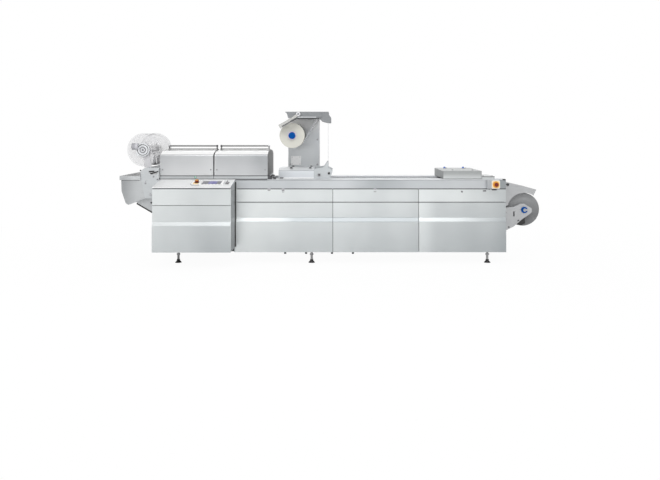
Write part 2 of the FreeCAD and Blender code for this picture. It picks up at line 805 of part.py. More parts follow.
def hood_sill():
    ring = without("sill_ring",
                   box("sill_block", ("hood_left_end", "hood_right_end"), ("hood_front", "hood_rear"),
                       ("rail_top", "sill_top")),
                   box("sill_hollow", ("hood_left_end + sill_width", "hood_right_end - sill_width"),
                       ("hood_front + sill_width", "hood_rear - sill_width"), ("rail_top", "sill_top")))
    pieces = [ring]
    near, far = "hinge_y - hinge_lug_depth", "hinge_y + hinge_lug_depth"
    lug = [("hood_rear", "sill_top - hinge_drop"), (far, "hinge_z - hinge_radius"),
           (far, "hinge_z + hinge_lug_depth"), (near, "hinge_z + hinge_lug_depth"), (near, "sill_top - hinge_clear"),
           ("hood_rear", "sill_top - hinge_clear")]
    for side in ("left", "right"):
        for number, (start, end) in enumerate(hinge_spots(side), 1):
            name = f"{side}_hinge_{number}"
            pieces.append(bar(name + "_pin", "X", ("hinge_y", "hinge_z"), "hinge_pin",
                              (f"{start} - hinge_lug", f"{end} + hinge_lug")))
            lugs = ((f"{start} - hinge_lug", f"{start} - running_gap * 2"),
                    (f"{end} + running_gap * 2", f"{end} + hinge_lug"))
            for edge, ends in enumerate(lugs, 1):
                pieces.append(profile(f"{name}_lug_{edge}", "YZ", lug, ends))
    keep(joined("sill", pieces), "hood_sill")


def hinge_spots(side):
    """The start and end, along X, of the two hinge blocks of a lid."""
    left, right = lid_ends(side)
    return [(f"({left}) + hinge_inset", f"({left}) + hinge_inset + hinge_length"),
            (f"({right}) - hinge_inset - hinge_length", f"({right}) - hinge_inset")]


def lid_ends(side):
    if side == "left":
        return "hood_left_end", "hood_split - hood_gap / 2"
    return "hood_split + hood_gap / 2", "hood_right_end"


def lid_form(name, ends):
    """The outer form of a lid: upright walls, bent shoulders and a low ridge."""
    bottom = "sill_top + hood_rest"
    section = [("hood_front", bottom), ("hood_front", "hood_shoulder"), ("hood_front + eaves_in", "hood_eaves"),
               ("middle", "hood_ridge"), ("hood_rear - eaves_in", "hood_eaves"), ("hood_rear", "hood_shoulder"),
               ("hood_rear", bottom)]
    return profile(name, "YZ", section, ends, (1, 2, 4, 5), "hood_bend")


def cutting_lid(side):
    left, right = lid_ends(side)
    sheet_body = lid_form(side + "_lid_sheet", (left, right))
    doc.recompute()
    open_faces = (flat_faces(sheet_body, "z", value("sill_top + hood_rest")) + flat_faces(sheet_body, "x", 0)
                  + flat_faces(sheet_body, "x", value(f"({right}) - ({left})")))
    hollowed(sheet_body, open_faces, "hood_sheet")
    rod_z = "hood_ridge + rod_height"
    pieces = [sheet_body, bar(side + "_rod", "X", ("middle", rod_z), "rod_radius",
                              (f"{left} + rod_inset", f"{right} - rod_inset"))]
    for number, (low, high) in enumerate(((f"{left} + rod_inset", f"{left} + rod_inset + rod_post"),
                                          (f"{right} - rod_inset - rod_post", f"{right} - rod_inset")), 1):
        pieces.append(box(f"{side}_post_{number}", (low, high), ("middle - rod_post / 2", "middle + rod_post / 2"),
                          ("hood_ridge - hood_sheet", rod_z)))
    for number, ends in enumerate(hinge_spots(side), 1):
        pieces.append(hinge_block(f"{side}_hinge_block_{number}", ends))
    keep(joined(side + "_lid", pieces), side + "_cutting_lid")
    plate_ends = (left, f"{left} + end_plate_depth") if side == "left" else (f"{right} - end_plate_depth", right)
    keep(without(side + "_plate", lid_form(side + "_plate_form", plate_ends), sheet_body), side + "_lid_end_plate")


def hinge_block(name, ends):
    """The lid's half of a hinge: a bored block with its far corners cut, held on the rear wall."""
    near, far = "hinge_y - hinge_lug_depth", "hinge_y + hinge_lug_depth"
    low, high = "hinge_z - hinge_lug_depth", "hinge_z + hinge_lug_depth"
    section = [("hood_rear - hood_sheet", "hinge_z"), (near, low), (f"{far} - hinge_pin", low),
               (far, f"{low} + hinge_pin"), (far, f"{high} - hinge_pin"), (f"{far} - hinge_pin", high),
               ("hood_rear - hood_sheet", high)]
    return without(name, profile(name + "_block", "YZ", section, ends),
                   bar(name + "_bore", "X", ("hinge_y", "hinge_z"), "hinge_pin + running_gap", ends))


def sealing_station():
    section = [("station_y", "rail_top"), ("station_y", "station_shoulder"),
               ("station_y + station_slope", "station_top"), ("column_face", "station_top"),
               ("column_face", "rail_top")]
    block = profile("station", "YZ", section, ("station_left", "station_right"), (1, 2), "station_bend")
    plinth = box("station_plinth", ("station_left + plinth_in", "station_right"),
                 ("station_y - plinth_out", "column_face"), ("rail_top", "rail_top + plinth_height"))
    keep(joined("station_block", [block, plinth]), "sealing_station")


def film_inlet():
    fin = "inlet_right - inlet_fin_in"
    side = [("station_right", "rail_top"), ("inlet_right - inlet_toe_in", "rail_top"),
            ("inlet_right - inlet_toe_in * 0.7", "rail_top + inlet_toe_height"),
            ("inlet_right", "rail_top + inlet_shoulder"), (fin, "rail_top + inlet_shoulder + inlet_toe_height"),
            (fin, "rail_top + inlet_fin_height"), (f"{fin} - inlet_fin_width", "rail_top + inlet_fin_height"),
            (f"{fin} - inlet_fin_root", "rail_top + inlet_top + inlet_rise"), ("station_right", "rail_top + inlet_top")]
    boss = bar("inlet_boss", "Y", ("inlet_right - inlet_boss_in", "rail_top + inlet_boss_height"),
               "inlet_boss_radius", ("station_y - inlet_boss_out", "station_y"))
    front = profile("inlet_front_sheet", "XZ", side, ("station_y", "station_y + inlet_sheet"))
    rear = profile("inlet_rear_sheet", "XZ", side, ("column_face - inlet_sheet * 2", "column_face - inlet_sheet"))
    keep(together("inlet", [joined("inlet_front", [front, boss]), rear]), "film_inlet_cheeks")


def tower_column():
    face, back = "column_face", "column_face + column_depth"
    plan = [("column_left", face), ("column_right", face), ("column_right", back), ("column_left", back)]
    keep(profile("column", "XY", plan, ("rail_top", "tower_top - head_sheet"), range(4), "column_corner"),
         "tower_column")


def tower_head():
    lobe = "head_right + lobe_out"
    cheek = [("head_left", "tower_top"), ("head_right", "tower_top"), ("head_right", "tower_top - lobe_start"),
             (lobe, "tower_top - lobe_shoulder"), (lobe, "tower_top - lobe_drop"),
             (f"{lobe} - lobe_width / 2", "tower_top - lobe_drop"),
             (f"{lobe} - lobe_root", "tower_top - lobe_drop + lobe_rise"),
             (f"{lobe} - lobe_root - lobe_width / 2", "tower_top - head_height"),
             ("head_left + head_neck", "tower_top - head_height"),
             ("head_left + head_nose", "tower_top - head_nose_drop")]
    front = profile("head_front_cheek", "XZ", cheek, ("head_y", "head_y + head_sheet"))
    rear = profile("head_rear_cheek", "XZ", cheek, ("column_face - head_sheet", "column_face"))
    top = box("head_top", ("head_left", "head_right"), ("head_y", "column_face + column_depth"),
              ("tower_top - head_sheet", "tower_top"))
    pivot = bar("head_pivot", "Y", ("arm_pivot_x", "arm_pivot_z"), "arm_pin",
                ("head_y - arm_gap * 2 - arm_sheet", "head_y + head_sheet"))
    keep(joined("head", [front, rear, top, pivot]), "tower_head")


def guide_rollers():
    ends = ("head_y + head_sheet", "column_face - head_sheet")
    rollers = [bar("roller_upper", "Y", ("upper_roller_x", "upper_roller_z"), "roller_radius", ends),
               bar("roller_turn", "Y", ("turn_roller_x", "turn_roller_z"), "roller_radius", ends),
               bar("roller_inlet", "Y", ("turn_roller_x", "inlet_roller_z"), "roller_radius",
                   ("station_y + inlet_sheet", "column_face - inlet_sheet * 2"))]
    keep(together("rollers", rollers), "guide_rollers")


def arm_point(along, above):
    """A place beside the reel: so far up the arm's slope from the reel's axis, and so far off its top."""
    radius = f"(top_reel_radius + fit_gap + ({above}))"
    return (f"top_reel_x + ({along}) * cos(arm_slope) - {radius} * sin(arm_slope)",
            f"top_reel_z + ({along}) * sin(arm_slope) + {radius} * cos(arm_slope)")


def follower_arm():
    """The arm that rests on the reel: a side plate on the pivot, with a wide beam across the film."""
    front = ("head_y - arm_gap - arm_sheet", "head_y - arm_gap")
    shoe = [arm_point("-arm_before", "arm_rise"), arm_point("-arm_before", "-arm_hang"),
            arm_point("arm_after", "-arm_hang"), arm_point("arm_after", "arm_rise")]
    link = [arm_point("arm_after - arm_corner", "arm_rise - arm_corner"),
            arm_point("arm_after - arm_corner", "arm_corner - arm_hang"),
            ("arm_pivot_x + arm_link * sin(arm_slope)", "arm_pivot_z - arm_link * cos(arm_slope)"),
            ("arm_pivot_x - arm_link * sin(arm_slope)", "arm_pivot_z + arm_link * cos(arm_slope)")]
    centre = ("arm_pivot_x", "arm_pivot_z")
    side = without("arm_bored", joined("arm_side", [
        profile("arm_shoe", "XZ", shoe, front, (0, 1), "arm_corner"), profile("arm_link_plate", "XZ", link, front),
        bar("arm_hub_round", "Y", centre, "arm_hub", front)]),
        bar("arm_bore", "Y", centre, "arm_pin + running_gap", front))
    beam = profile("arm_beam", "XZ", [
        arm_point("-arm_before", "arm_rise"), arm_point("-arm_before", "0"), arm_point("arm_beam_after", "0"),
        arm_point("arm_beam_after", "arm_rise")], ("head_y - arm_gap - arm_sheet / 2", "film_rear"))
    keep(joined("arm", [side, beam]), "reel_follower_arm")


def reel(name, x, z, radius, bore, ends):
    depth = f"({ends[1]}) - ({ends[0]})"
    section = [(bore, "0"), (radius, "0"), (radius, depth), (bore, depth)]
    return turned(name, section, "Y", x, ends[0], z)


def top_reel():
    centre = ("top_reel_x", "top_reel_z")
    keep(bar("spindle", "Y", centre, "shaft_radius", ("film_front - chuck_reach / 2", "column_face")),
         "top_reel_spindle")
    keep(reel("top_roll", *centre, "top_reel_radius", "core_radius + fit_gap", ("film_front", "film_rear")),
         "top_film_reel")
    bore = "shaft_radius + running_gap"
    end = "chuck_reach + film_width"
    blind = "chuck_reach / 2 - fit_gap"
    chuck = [("0", "0"), ("chuck_radius", "0"), ("chuck_radius", "chuck_reach - fit_gap"),
             ("core_radius", "chuck_reach - fit_gap"), ("core_radius", end), (bore, end), (bore, blind), ("0", blind)]
    keep(turned("chuck", chuck, "Y", "top_reel_x", "film_front - chuck_reach", "top_reel_z"), "top_reel_chuck")


def tangent(start, end):
    """Where a taut film leaves one round and meets the next; a turn of +1 has the round on its right."""
    (x1, z1, r1, turn1), (x2, z2, r2, turn2) = start, end
    reach = math.hypot(x2 - x1, z2 - z1)
    slope = math.atan2(z2 - z1, x2 - x1) - math.asin((turn1 * r1 - turn2 * r2) / reach)
    left = FreeCAD.Vector(-math.sin(slope), 0, math.cos(slope))
    return (FreeCAD.Vector(x1, 0, z1) + left * (turn1 * r1), FreeCAD.Vector(x2, 0, z2) + left * (turn2 * r2))


def film_edges(rounds, last):
    """One face of the film: straight from round to round, and bent about each one between."""
    edges = []
    runs = [tangent(rounds[index], rounds[index + 1]) for index in range(len(rounds) - 1)]
    x, z, radius, turn = rounds[-1]
    runs.append((FreeCAD.Vector(x, 0, z - radius), FreeCAD.Vector(last, 0, z - radius)))
    for number, (leave, meet) in enumerate(runs):
        edges.append(Part.LineSegment(leave, meet).toShape())
        if number + 1 < len(runs):
            x, z, radius, turn = rounds[number + 1]
            centre = FreeCAD.Vector(x, 0, z)
            halfway = (meet - centre) + (runs[number + 1][0] - centre)
            middle = centre + halfway.normalize() * radius
            edges.append(Part.Arc(meet, middle, runs[number + 1][0]).toShape())
    return edges


def lidding_film():
    """The lidding film from the reel, over the rollers of the head and down to the inlet."""
    film = value("lid_film")
    radius = value("roller_radius + fit_gap")
    rollers = [("upper_roller_x", "upper_roller_z"), ("turn_roller_x", "turn_roller_z"),
               ("turn_roller_x", "inlet_roller_z")]
    last = value("station_right - film_tail")
    faces = []
    for inner, outer in ((0, film), (film, 0)):
        reel_round = (value("top_reel_x"), value("top_reel_z"), value("top_reel_radius + reel_gap") + outer, -1)
        rounds = [reel_round] + [(value(x), value(z), radius + inner, 1) for x, z in rollers]
        faces.append(film_edges(rounds, last))
    near, far = faces
    ends = [Part.LineSegment(near[0].Vertexes[0].Point, far[0].Vertexes[0].Point).toShape(),
            Part.LineSegment(near[-1].Vertexes[-1].Point, far[-1].Vertexes[-1].Point).toShape()]
    wire = Part.Wire(Part.__sortEdges__(near + far + ends))
    shape = Part.Face(wire).extrude(FreeCAD.Vector(0, value("film_width - 2 * film_edge"), 0))
    item = doc.addObject("Part::Feature", "film")
    item.Shape = shape
    item.Placement.Base.y = value("film_front + film_edge")
    keep(item, "lidding_film")


def station_cover(name, ends, depth, height):
    """A cover that stands on the rails, with round upright edges."""
    near, far = "forming_y", f"forming_y + {depth}"
    plan = [(ends[0], near), (ends[1], near), (ends[1], far), (ends[0], far)]
    return profile(name, "XY", plan, ("rail_top", f"rail_top + {height}"), range(4), "forming_corner")


def forming_station():
    forming = station_cover("forming", ("forming_left", "forming_right"), "forming_depth", "forming_height")
    doc.recompute()
    dress(forming, "PartDesign::Chamfer", flat_faces(forming, "z", value("forming_height")), Size="forming_bevel")
    keep(forming, "forming_station")
    keep(station_cover("heating", ("forming_right", "forming_right + heating_length"), "heating_depth",
                       "heating_height"), "heating_cover")


def reel_arm(name, ends):
    """A plate that reaches from the body's end to the reel's shaft, with an adjusting slot."""
    x, z = "bottom_reel_x", "bottom_reel_z"
    side = [("right", f"{z} - bottom_arm_drop"), (f"{x} - bottom_arm_heel", f"{z} - bottom_arm_heel_drop"),
            (f"{x} - bottom_arm_waist", f"{z} - bottom_arm_waist_drop"),
            (f"{x} + bottom_arm_chin", f"{z} - bottom_arm_chin_drop"),
            (f"{x} + bottom_arm_nose", f"{z} - bottom_arm_nose_drop"),
            (f"{x} + bottom_arm_nose", f"{z} + bottom_arm_nose_rise"), (x, f"{z} + bottom_arm_crest"),
            (f"{x} - bottom_arm_brow", f"{z} + bottom_arm_crest"),
            (f"{x} - bottom_arm_heel", f"{z} + bottom_arm_shoulder"), ("right", f"{z} + bottom_arm_root")]
    slot_x = f"{x} - arm_slot_in"
    slot = [bar(f"{name}_slot_{end}", "Y", (slot_x, f"{z} - arm_slot_{end}"), "arm_slot_radius", ends)
            for end in ("low", "high")]
    slot.append(box(name + "_slot", (f"{slot_x} - arm_slot_radius", f"{slot_x} + arm_slot_radius"), ends,
                    (f"{z} - arm_slot_low", f"{z} - arm_slot_high")))
    return without(name, profile(name + "_plate", "XZ", side, ends, (4, 5, 7), "bottom_arm_corner"),
                   bar(name + "_bore", "Y", (x, z), "shaft_radius + running_gap", ends), *slot)


def bottom_reel():
    centre = ("bottom_reel_x", "bottom_reel_z")
    near, far = "arm_front - arm_sheet", "arm_rear + arm_sheet"
    keep(together("arms", [reel_arm("front_arm", (near, "arm_front")), reel_arm("rear_arm", ("arm_rear", far))]),
         "bottom_reel_arms")
    keep(reel("bottom_roll", *centre, "bottom_reel_radius", "core_radius + fit_gap",
              ("film_front", "film_rear")), "bottom_film_reel")
    keep(joined("bottom_shaft", [
        bar("bottom_shaft_bar", "Y", centre, "shaft_radius", (f"{near} - shaft_end", f"{far} + shaft_end / 3")),
        bar("bottom_shaft_core", "Y", centre, "core_radius", ("film_front - core_end", "film_rear + core_end"))]),
        "bottom_reel_shaft")
    clamp = (f"{near} - clamp_depth", near)
    ring = reel("clamp_ring", *centre, "shaft_radius + running_gap + clamp_wall", "shaft_radius + running_gap * 2",
                clamp)
    mouth = box("clamp_gap", ("bottom_reel_x", "bottom_reel_x + chuck_radius"), clamp,
                ("bottom_reel_z - clamp_mouth / 2", "bottom_reel_z + clamp_mouth / 2"))
    keep(without("clamp", ring, mouth), "bottom_reel_clamp")


def splice_table():
    """The sloped table over the reel, on two cheeks that are relieved about it."""
    top = [("right", "table_top"), ("table_right", "table_end"),
           ("table_right - table_sheet / 4", "table_end - table_sheet"), ("right", "table_top - table_sheet")]
    cheek = [("right", "table_top - table_sheet / 2"), ("table_right - table_sheet / 4", "table_end - table_sheet / 2"),
             ("table_right - table_lip_in", "table_end - table_lip"), ("right", "table_cheek_foot")]
    lip = [("table_right", "table_end"), ("table_right - table_lip_in / 2", "table_end - table_lip / 2"),
           ("table_right - table_lip_in / 2 - table_sheet", "table_end - table_lip / 2"),
           ("table_right - table_sheet", "table_end")]
    centre = ("bottom_reel_x", "bottom_reel_z")
    wide = ("arm_front - arm_sheet", "arm_rear + arm_sheet")
    pieces = [profile("table_plate", "XZ", top, wide), profile("table_lip_plate", "XZ", lip, wide)]
    for name, ends in (("table_front", (wide[0], "arm_front")), ("table_rear", ("arm_rear", wide[1]))):
        pieces.append(without(name, profile(name + "_cheek", "XZ", cheek, ends),
                              bar(name + "_relief", "Y", centre, "bottom_reel_radius + reel_relief", ends)))
    keep(joined("table", pieces), "splice_table")


def discharge_end():
    cheek = [("trough_right - cheek_out", "bridge_top - cheek_drop"), ("bridge_left", "bridge_top"),
             ("left", "bridge_top"), ("left", "trough_low"), ("trough_foot_x", "trough_low"),
             ("trough_right", "trough_lip"), ("trough_right - cheek_out", "trough_lip + rim_height")]
    slot_x = ("left - cheek_slot_in - cheek_slot_length", "left - cheek_slot_in")
    slot_z = ("bridge_top - cheek_slot_drop - cheek_slot_height", "bridge_top - cheek_slot_drop")
    pieces = [box("winder_bridge", ("bridge_left", "left"), ("front", "rear"),
                  ("bridge_top - arm_sheet", "bridge_top"))]
    for name, ends in (("discharge_front", ("front", "front + arm_sheet")),
                       ("discharge_rear", ("rear - arm_sheet", "rear"))):
        pieces.append(without(name, profile(name + "_sheet", "XZ", cheek, ends), box(name + "_slot", slot_x, ends, slot_z)))
    keep(joined("discharge", pieces), "discharge_frame")


def discharge_trough():
    """A sheet trough with a folded rim on three sides, low on the side where the trays come in."""
    side = [("trough_left", "trough_top"), ("trough_left + trough_bend_in", "trough_bend_z"),
            ("trough_left + trough_heel_in", "trough_heel_z"), ("trough_toe_x", "trough_toe_z"),
            ("trough_foot_x - fit_gap", "trough_low"), ("trough_right - fit_gap", "trough_lip"),
            ("trough_right - cheek_out - fit_gap", "trough_lip + rim_height"),
            ("trough_right - cheek_out - fit_gap", "trough_top")]
    shell = profile("trough_shell", "XZ", side, ("front", "rear"), (2, 3), "trough_corner")
    doc.recompute()
    hollowed(shell, flat_faces(shell, "z", value("trough_top")), "trough_sheet")
    mouth = box("trough_mouth", ("trough_right - cheek_out * 2", "trough_right + cheek_out"),
                ("front + trough_sheet", "rear - trough_sheet"), ("web_height - mouth_drop", "trough_top"))
    near, far = "front - rim_out", "rear + rim_out"
    low = "trough_top - rim_height"
    edge = "trough_right - cheek_out - fit_gap"
    plan = [("trough_left - rim_out", near), (edge, near), (edge, far), ("trough_left - rim_out", far)]
    rim = without("trough_rim", profile("trough_rim_block", "XY", plan, (low, "trough_top"), (0, 3), "rim_corner"),
                  box("trough_rim_hollow", ("trough_left + trough_sheet / 2", "trough_right"),
                      ("front + trough_sheet / 2", "rear - trough_sheet / 2"), (low, "trough_top")))
    keep(without("trough", joined("trough_block", [shell, rim]), mouth), "discharge_trough")


def trough_stays():
    """Two plates under the trough that follow its bottom from the body's end."""
    tip = "trough_left + stay_tip_in"
    slope = "(trough_low - trough_toe_z) / (trough_foot_x - fit_gap - trough_toe_x)"
    tip_z = f"trough_toe_z + ({tip} - (trough_toe_x)) * ({slope}) - fit_gap"
    side = [(tip, tip_z), ("trough_foot_x", "trough_low - fit_gap"), ("left", "trough_low - fit_gap"),
            ("left", "trough_low - stay_drop")]
    keep(together("stays", [
        profile("front_stay", "XZ", side, ("front + stay_inset", "front + stay_inset + arm_sheet")),
        profile("rear_stay", "XZ", side, ("rear - stay_inset - arm_sheet", "rear - stay_inset"))]), "trough_stays")


def winder_bracket(name, ends):
    """A post on the bridge that leans out to the winding shaft, with the corners of its head cut."""
    low, high = "winder_z - post_head * 2", "winder_z + post_head"
    post = [("winder_x + post_start", "bridge_top"), ("winder_x + post_start + post_width", "bridge_top"),
            ("winder_x + post_head", "winder_z"), ("winder_x + post_head / 2", high),
            ("winder_x - post_head / 2", high), ("winder_x - post_head", "winder_z"),
            ("winder_x + post_start", low)]
    return without(name, profile(name + "_post", "XZ", post, ends),
                   bar(name + "_bore", "Y", ("winder_x", "winder_z"), "winder_shaft_radius + running_gap", ends))


def gearmotor():
    gearbox = bar("gearbox", "Y", ("winder_x", "winder_z"), "gearbox_radius",
                  ("gearbox_back - gearbox_depth", "gearbox_back"))
    motor = bar("motor", "X", ("gearbox_back - motor_gap - motor_radius", "winder_z + motor_lift"), "motor_radius",
                ("winder_x - motor_reach", "winder_x - motor_start"))
    keep(joined("gearmotor_block", [gearbox, motor]), "winder_gearmotor")


def trim_winder():
    centre = ("winder_x", "winder_z")
    keep(together("winder_posts", [
        winder_bracket("winder_front", ("gearbox_back", "disc_front - post_gap")),
        winder_bracket("winder_rear", ("disc_rear + post_gap", "disc_rear + post_gap + arm_sheet"))]),
        "winder_brackets")
    gearmotor()
    inner = ("disc_front + disc_depth", "disc_rear - disc_depth")
    spool = [bar("winder_bar", "Y", centre, "winder_shaft_radius",
                 ("gearbox_back + running_gap", "disc_rear + post_gap + arm_sheet")),
             bar("front_hub", "Y", centre, "hub_radius", (inner[0], f"{inner[0]} + hub_depth")),
             bar("rear_hub", "Y", centre, "hub_radius", (f"{inner[1]} - hub_depth", inner[1]))]
    for number, (across, up) in enumerate(((1, 1), (-1, 1), (-1, -1), (1, -1)), 1):
        x, z = f"winder_x + {across} * finger_spread", f"winder_z + {up} * finger_spread"
        spool.append(box(f"winding_finger_{number}", (f"{x} - finger_width / 2", f"{x} + finger_width / 2"),
                         (f"{inner[0]} + hub_depth / 2", f"{inner[1]} - hub_depth / 2"),
                         (f"{z} - finger_width / 2", f"{z} + finger_width / 2")))
    keep(joined("spool", spool), "winder_spool")
    bore = "winder_shaft_radius + fit_gap"
    keep(together("discs", [reel("front_disc", *centre, "disc_radius", bore, ("disc_front", inner[0])),
                            reel("rear_disc", *centre, "disc_radius", bore, (inner[1], "disc_rear"))]),
         "winder_discs")


def main():
    machine_frame()
    levelling_feet()
    body_covers()
    end_covers()
    side_rails()
    web_deck()
    formed_web()
    control_cabinet()
    operator_desk()
    desk_controls()
    end_stop()
    hood_sill()
    cutting_lid("left")
    cutting_lid("right")
    sealing_station()
    film_inlet()
    tower_column()
    tower_head()
    guide_rollers()
    follower_arm()
    top_reel()
    lidding_film()
    forming_station()
    bottom_reel()
    splice_table()
    discharge_end()
    discharge_trough()
    trough_stays()
    trim_winder()
    doc.recompute()
    check()
    write()


def check():
    """Every object is sound and every sub-part is a valid solid before anything is written."""
    for item in doc.Objects:
        if {"Invalid", "Error"} & set(item.State):
            raise RuntimeError(f"{item.Label} failed: {item.State}")
    for item in finished:
        if item.Shape.isNull() or not item.Shape.isValid() or not item.Shape.Solids:
            raise RuntimeError(f"{item.Label} has no valid solid")


def write():
    os.makedirs("parts", exist_ok=True)
    for item in finished:
        item.Shape.exportStep(f"parts/{item.Label}.step")
        print(item.Label, len(item.Shape.Solids), round(item.Shape.Volume / 1e6, 3))


doc = FreeCAD.newDocument("TraySealer")
sheet = doc.addObject("Spreadsheet::Sheet", "Sizes")
for row, (alias, size) in enumerate(SIZES.items(), 1):
    sheet.set(f"A{row}", alias)
    sheet.set(f"B{row}", str(size))
    sheet.setAlias(f"B{row}", alias)
doc.recompute()
finished = []
main()
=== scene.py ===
import bmesh
import bpy
import json
import math
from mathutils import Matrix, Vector


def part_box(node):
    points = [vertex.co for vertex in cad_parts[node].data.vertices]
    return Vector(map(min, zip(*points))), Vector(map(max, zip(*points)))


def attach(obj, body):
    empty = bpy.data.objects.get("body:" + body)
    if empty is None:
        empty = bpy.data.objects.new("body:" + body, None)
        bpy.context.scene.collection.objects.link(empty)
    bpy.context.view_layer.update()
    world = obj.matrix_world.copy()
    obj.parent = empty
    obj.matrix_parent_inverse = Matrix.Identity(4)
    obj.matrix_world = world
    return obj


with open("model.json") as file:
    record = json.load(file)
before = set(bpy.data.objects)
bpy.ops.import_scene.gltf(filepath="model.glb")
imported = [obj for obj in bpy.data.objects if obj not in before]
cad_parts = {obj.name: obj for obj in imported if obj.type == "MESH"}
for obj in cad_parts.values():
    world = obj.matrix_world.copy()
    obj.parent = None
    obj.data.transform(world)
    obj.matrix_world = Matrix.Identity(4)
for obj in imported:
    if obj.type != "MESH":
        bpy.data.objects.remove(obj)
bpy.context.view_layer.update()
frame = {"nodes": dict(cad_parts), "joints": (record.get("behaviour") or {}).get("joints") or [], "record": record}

bl_info = {
    "name": "Tray sealer line",
    "version": (1, 0, 0),
    "blender": (4, 5, 0),
    "location": "View3D > Sidebar > Tray sealer",
    "description": "Finishes and small parts of a thermoforming tray sealer line",
    "category": "Object",
}

FINISH = "finish_"
MACHINE = "machine"
FRONT, REAR, LEFT, RIGHT, UP, DOWN = (0, -1, 0), (0, 1, 0), (-1, 0, 0), (1, 0, 0), (0, 0, 1), (0, 0, -1)


# Places that the frame gives, in metres

def low(node):
    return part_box(node)[0]


def high(node):
    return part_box(node)[1]


def middle(node):
    return (low(node) + high(node)) / 2


FEET = [mount["pos_m"][:2] for mount in frame["record"]["mounts"]]
PIVOTS = {joint["name"]: joint["pos_m"] for joint in frame["joints"]}
ENDS = (("left", 0, LEFT), ("right", 1, RIGHT))
MIDDLE_Y = (low("front_side_rail").y + high("rear_side_rail").y) / 2
RAIL_TOP = high("front_side_rail").z
SEAM_LOW, SEAM_HIGH = high("front_lower_cover_1").z, low("front_upper_cover_1").z


def across(y):
    """The same place on the other side of the machine."""
    return 2 * MIDDLE_Y - y


def paired(y):
    """A place on a front face and its like at the rear, each with the way that it looks."""
    return (y, FRONT), (across(y), REAR)


# Other places and sizes, in metres, and the photo's width in pixels

WAIST_LOW, WAIST_HIGH, WAIST_SOFT = 0.507, 0.555, 0.007
SEAL_INSET = 0.001
SCREW_INSET = 0.03
DESK_SLOPE = math.radians(9.904)
DESK_FOOT_Y, DESK_FOOT_Z = -0.62, 0.952
DESK_RISE = 0.19
DESK_SHEET = 0.005
TURN_PITCH = 0.0035
PHOTO_WIDTH = 660


# Trees of nodes

def linear(shade):
    """A display colour of three parts from 0 to 1 as the light that it stands for."""
    return tuple(((c + 0.055) / 1.055) ** 2.4 if c > 0.04045 else c / 12.92 for c in shade)


class Reading:
    """A value socket of a tree, so that sums and products are written as such."""

    def __init__(self, graph, socket):
        self.graph = graph
        self.socket = socket

    def worked(self, operation, first, second=0.0):
        made = self.graph.node("ShaderNodeMath", {"operation": operation}, {0: first, 1: second})
        return Reading(self.graph, made.outputs[0])

    def __add__(self, other):
        return self.worked("ADD", self, other)

    def __radd__(self, other):
        return self.worked("ADD", other, self)

    def __sub__(self, other):
        return self.worked("SUBTRACT", self, other)

    def __rsub__(self, other):
        return self.worked("SUBTRACT", other, self)

    def __mul__(self, other):
        return self.worked("MULTIPLY", self, other)

    def __rmul__(self, other):
        return self.worked("MULTIPLY", other, self)

    def __truediv__(self, other):
        return self.worked("DIVIDE", self, other)

    def __abs__(self):
        return self.worked("ABSOLUTE", self)

    def root(self):
        return self.worked("SQRT", self)

    def over(self, edge):
        return self.worked("GREATER_THAN", self, edge)

    def under(self, edge):
        return 1 - self.over(edge)

    def rise(self, start, end):
        """0 below start, 1 above end, and a soft rise between."""
        made = self.graph.node("ShaderNodeMapRange", {"interpolation_type": "SMOOTHSTEP"},
                               {"Value": self, "From Min": start, "From Max": end})
        return Reading(self.graph, made.outputs["Result"])

    def fall(self, start, end):
        """1 below start, 0 above end, and a soft fall between."""
        return 1 - self.rise(start, end)


class Graph:
    """A tree whose nodes all come from one method."""

    def __init__(self, tree):
        self.tree = tree
        tree.nodes.clear()

    def feed(self, socket, wanted):
        if isinstance(wanted, Reading):
            self.tree.links.new(wanted.socket, socket)
        elif isinstance(wanted, bpy.types.NodeSocket):
            self.tree.links.new(wanted, socket)
        elif isinstance(wanted, tuple) and socket.type == "RGBA":
            socket.default_value = (*linear(wanted), 1.0)
        else:
            socket.default_value = wanted

    def node(self, kind, settings=None, sockets=None):
        """One node: its settings first, then the values or links of its sockets."""
        made = self.tree.nodes.new(kind)
        for name, wanted in (settings or {}).items():
            setattr(made, name, wanted)
        for key, wanted in (sockets or {}).items():
            self.feed(made.inputs[key], wanted)
        return made

    def value(self, kind, output, settings=None, sockets=None):
        return Reading(self, self.node(kind, settings, sockets).outputs[output])


# Finishes, with colours as a display shows them

BRUSHED, BLASTED, COARSE = (3, 3, 900), (5, 5, 400), (40, 40, 60)


def grey(level):
    return level, level, level


def scaled(shade, factor):
    return tuple(min(1.0, c * factor) for c in shade)


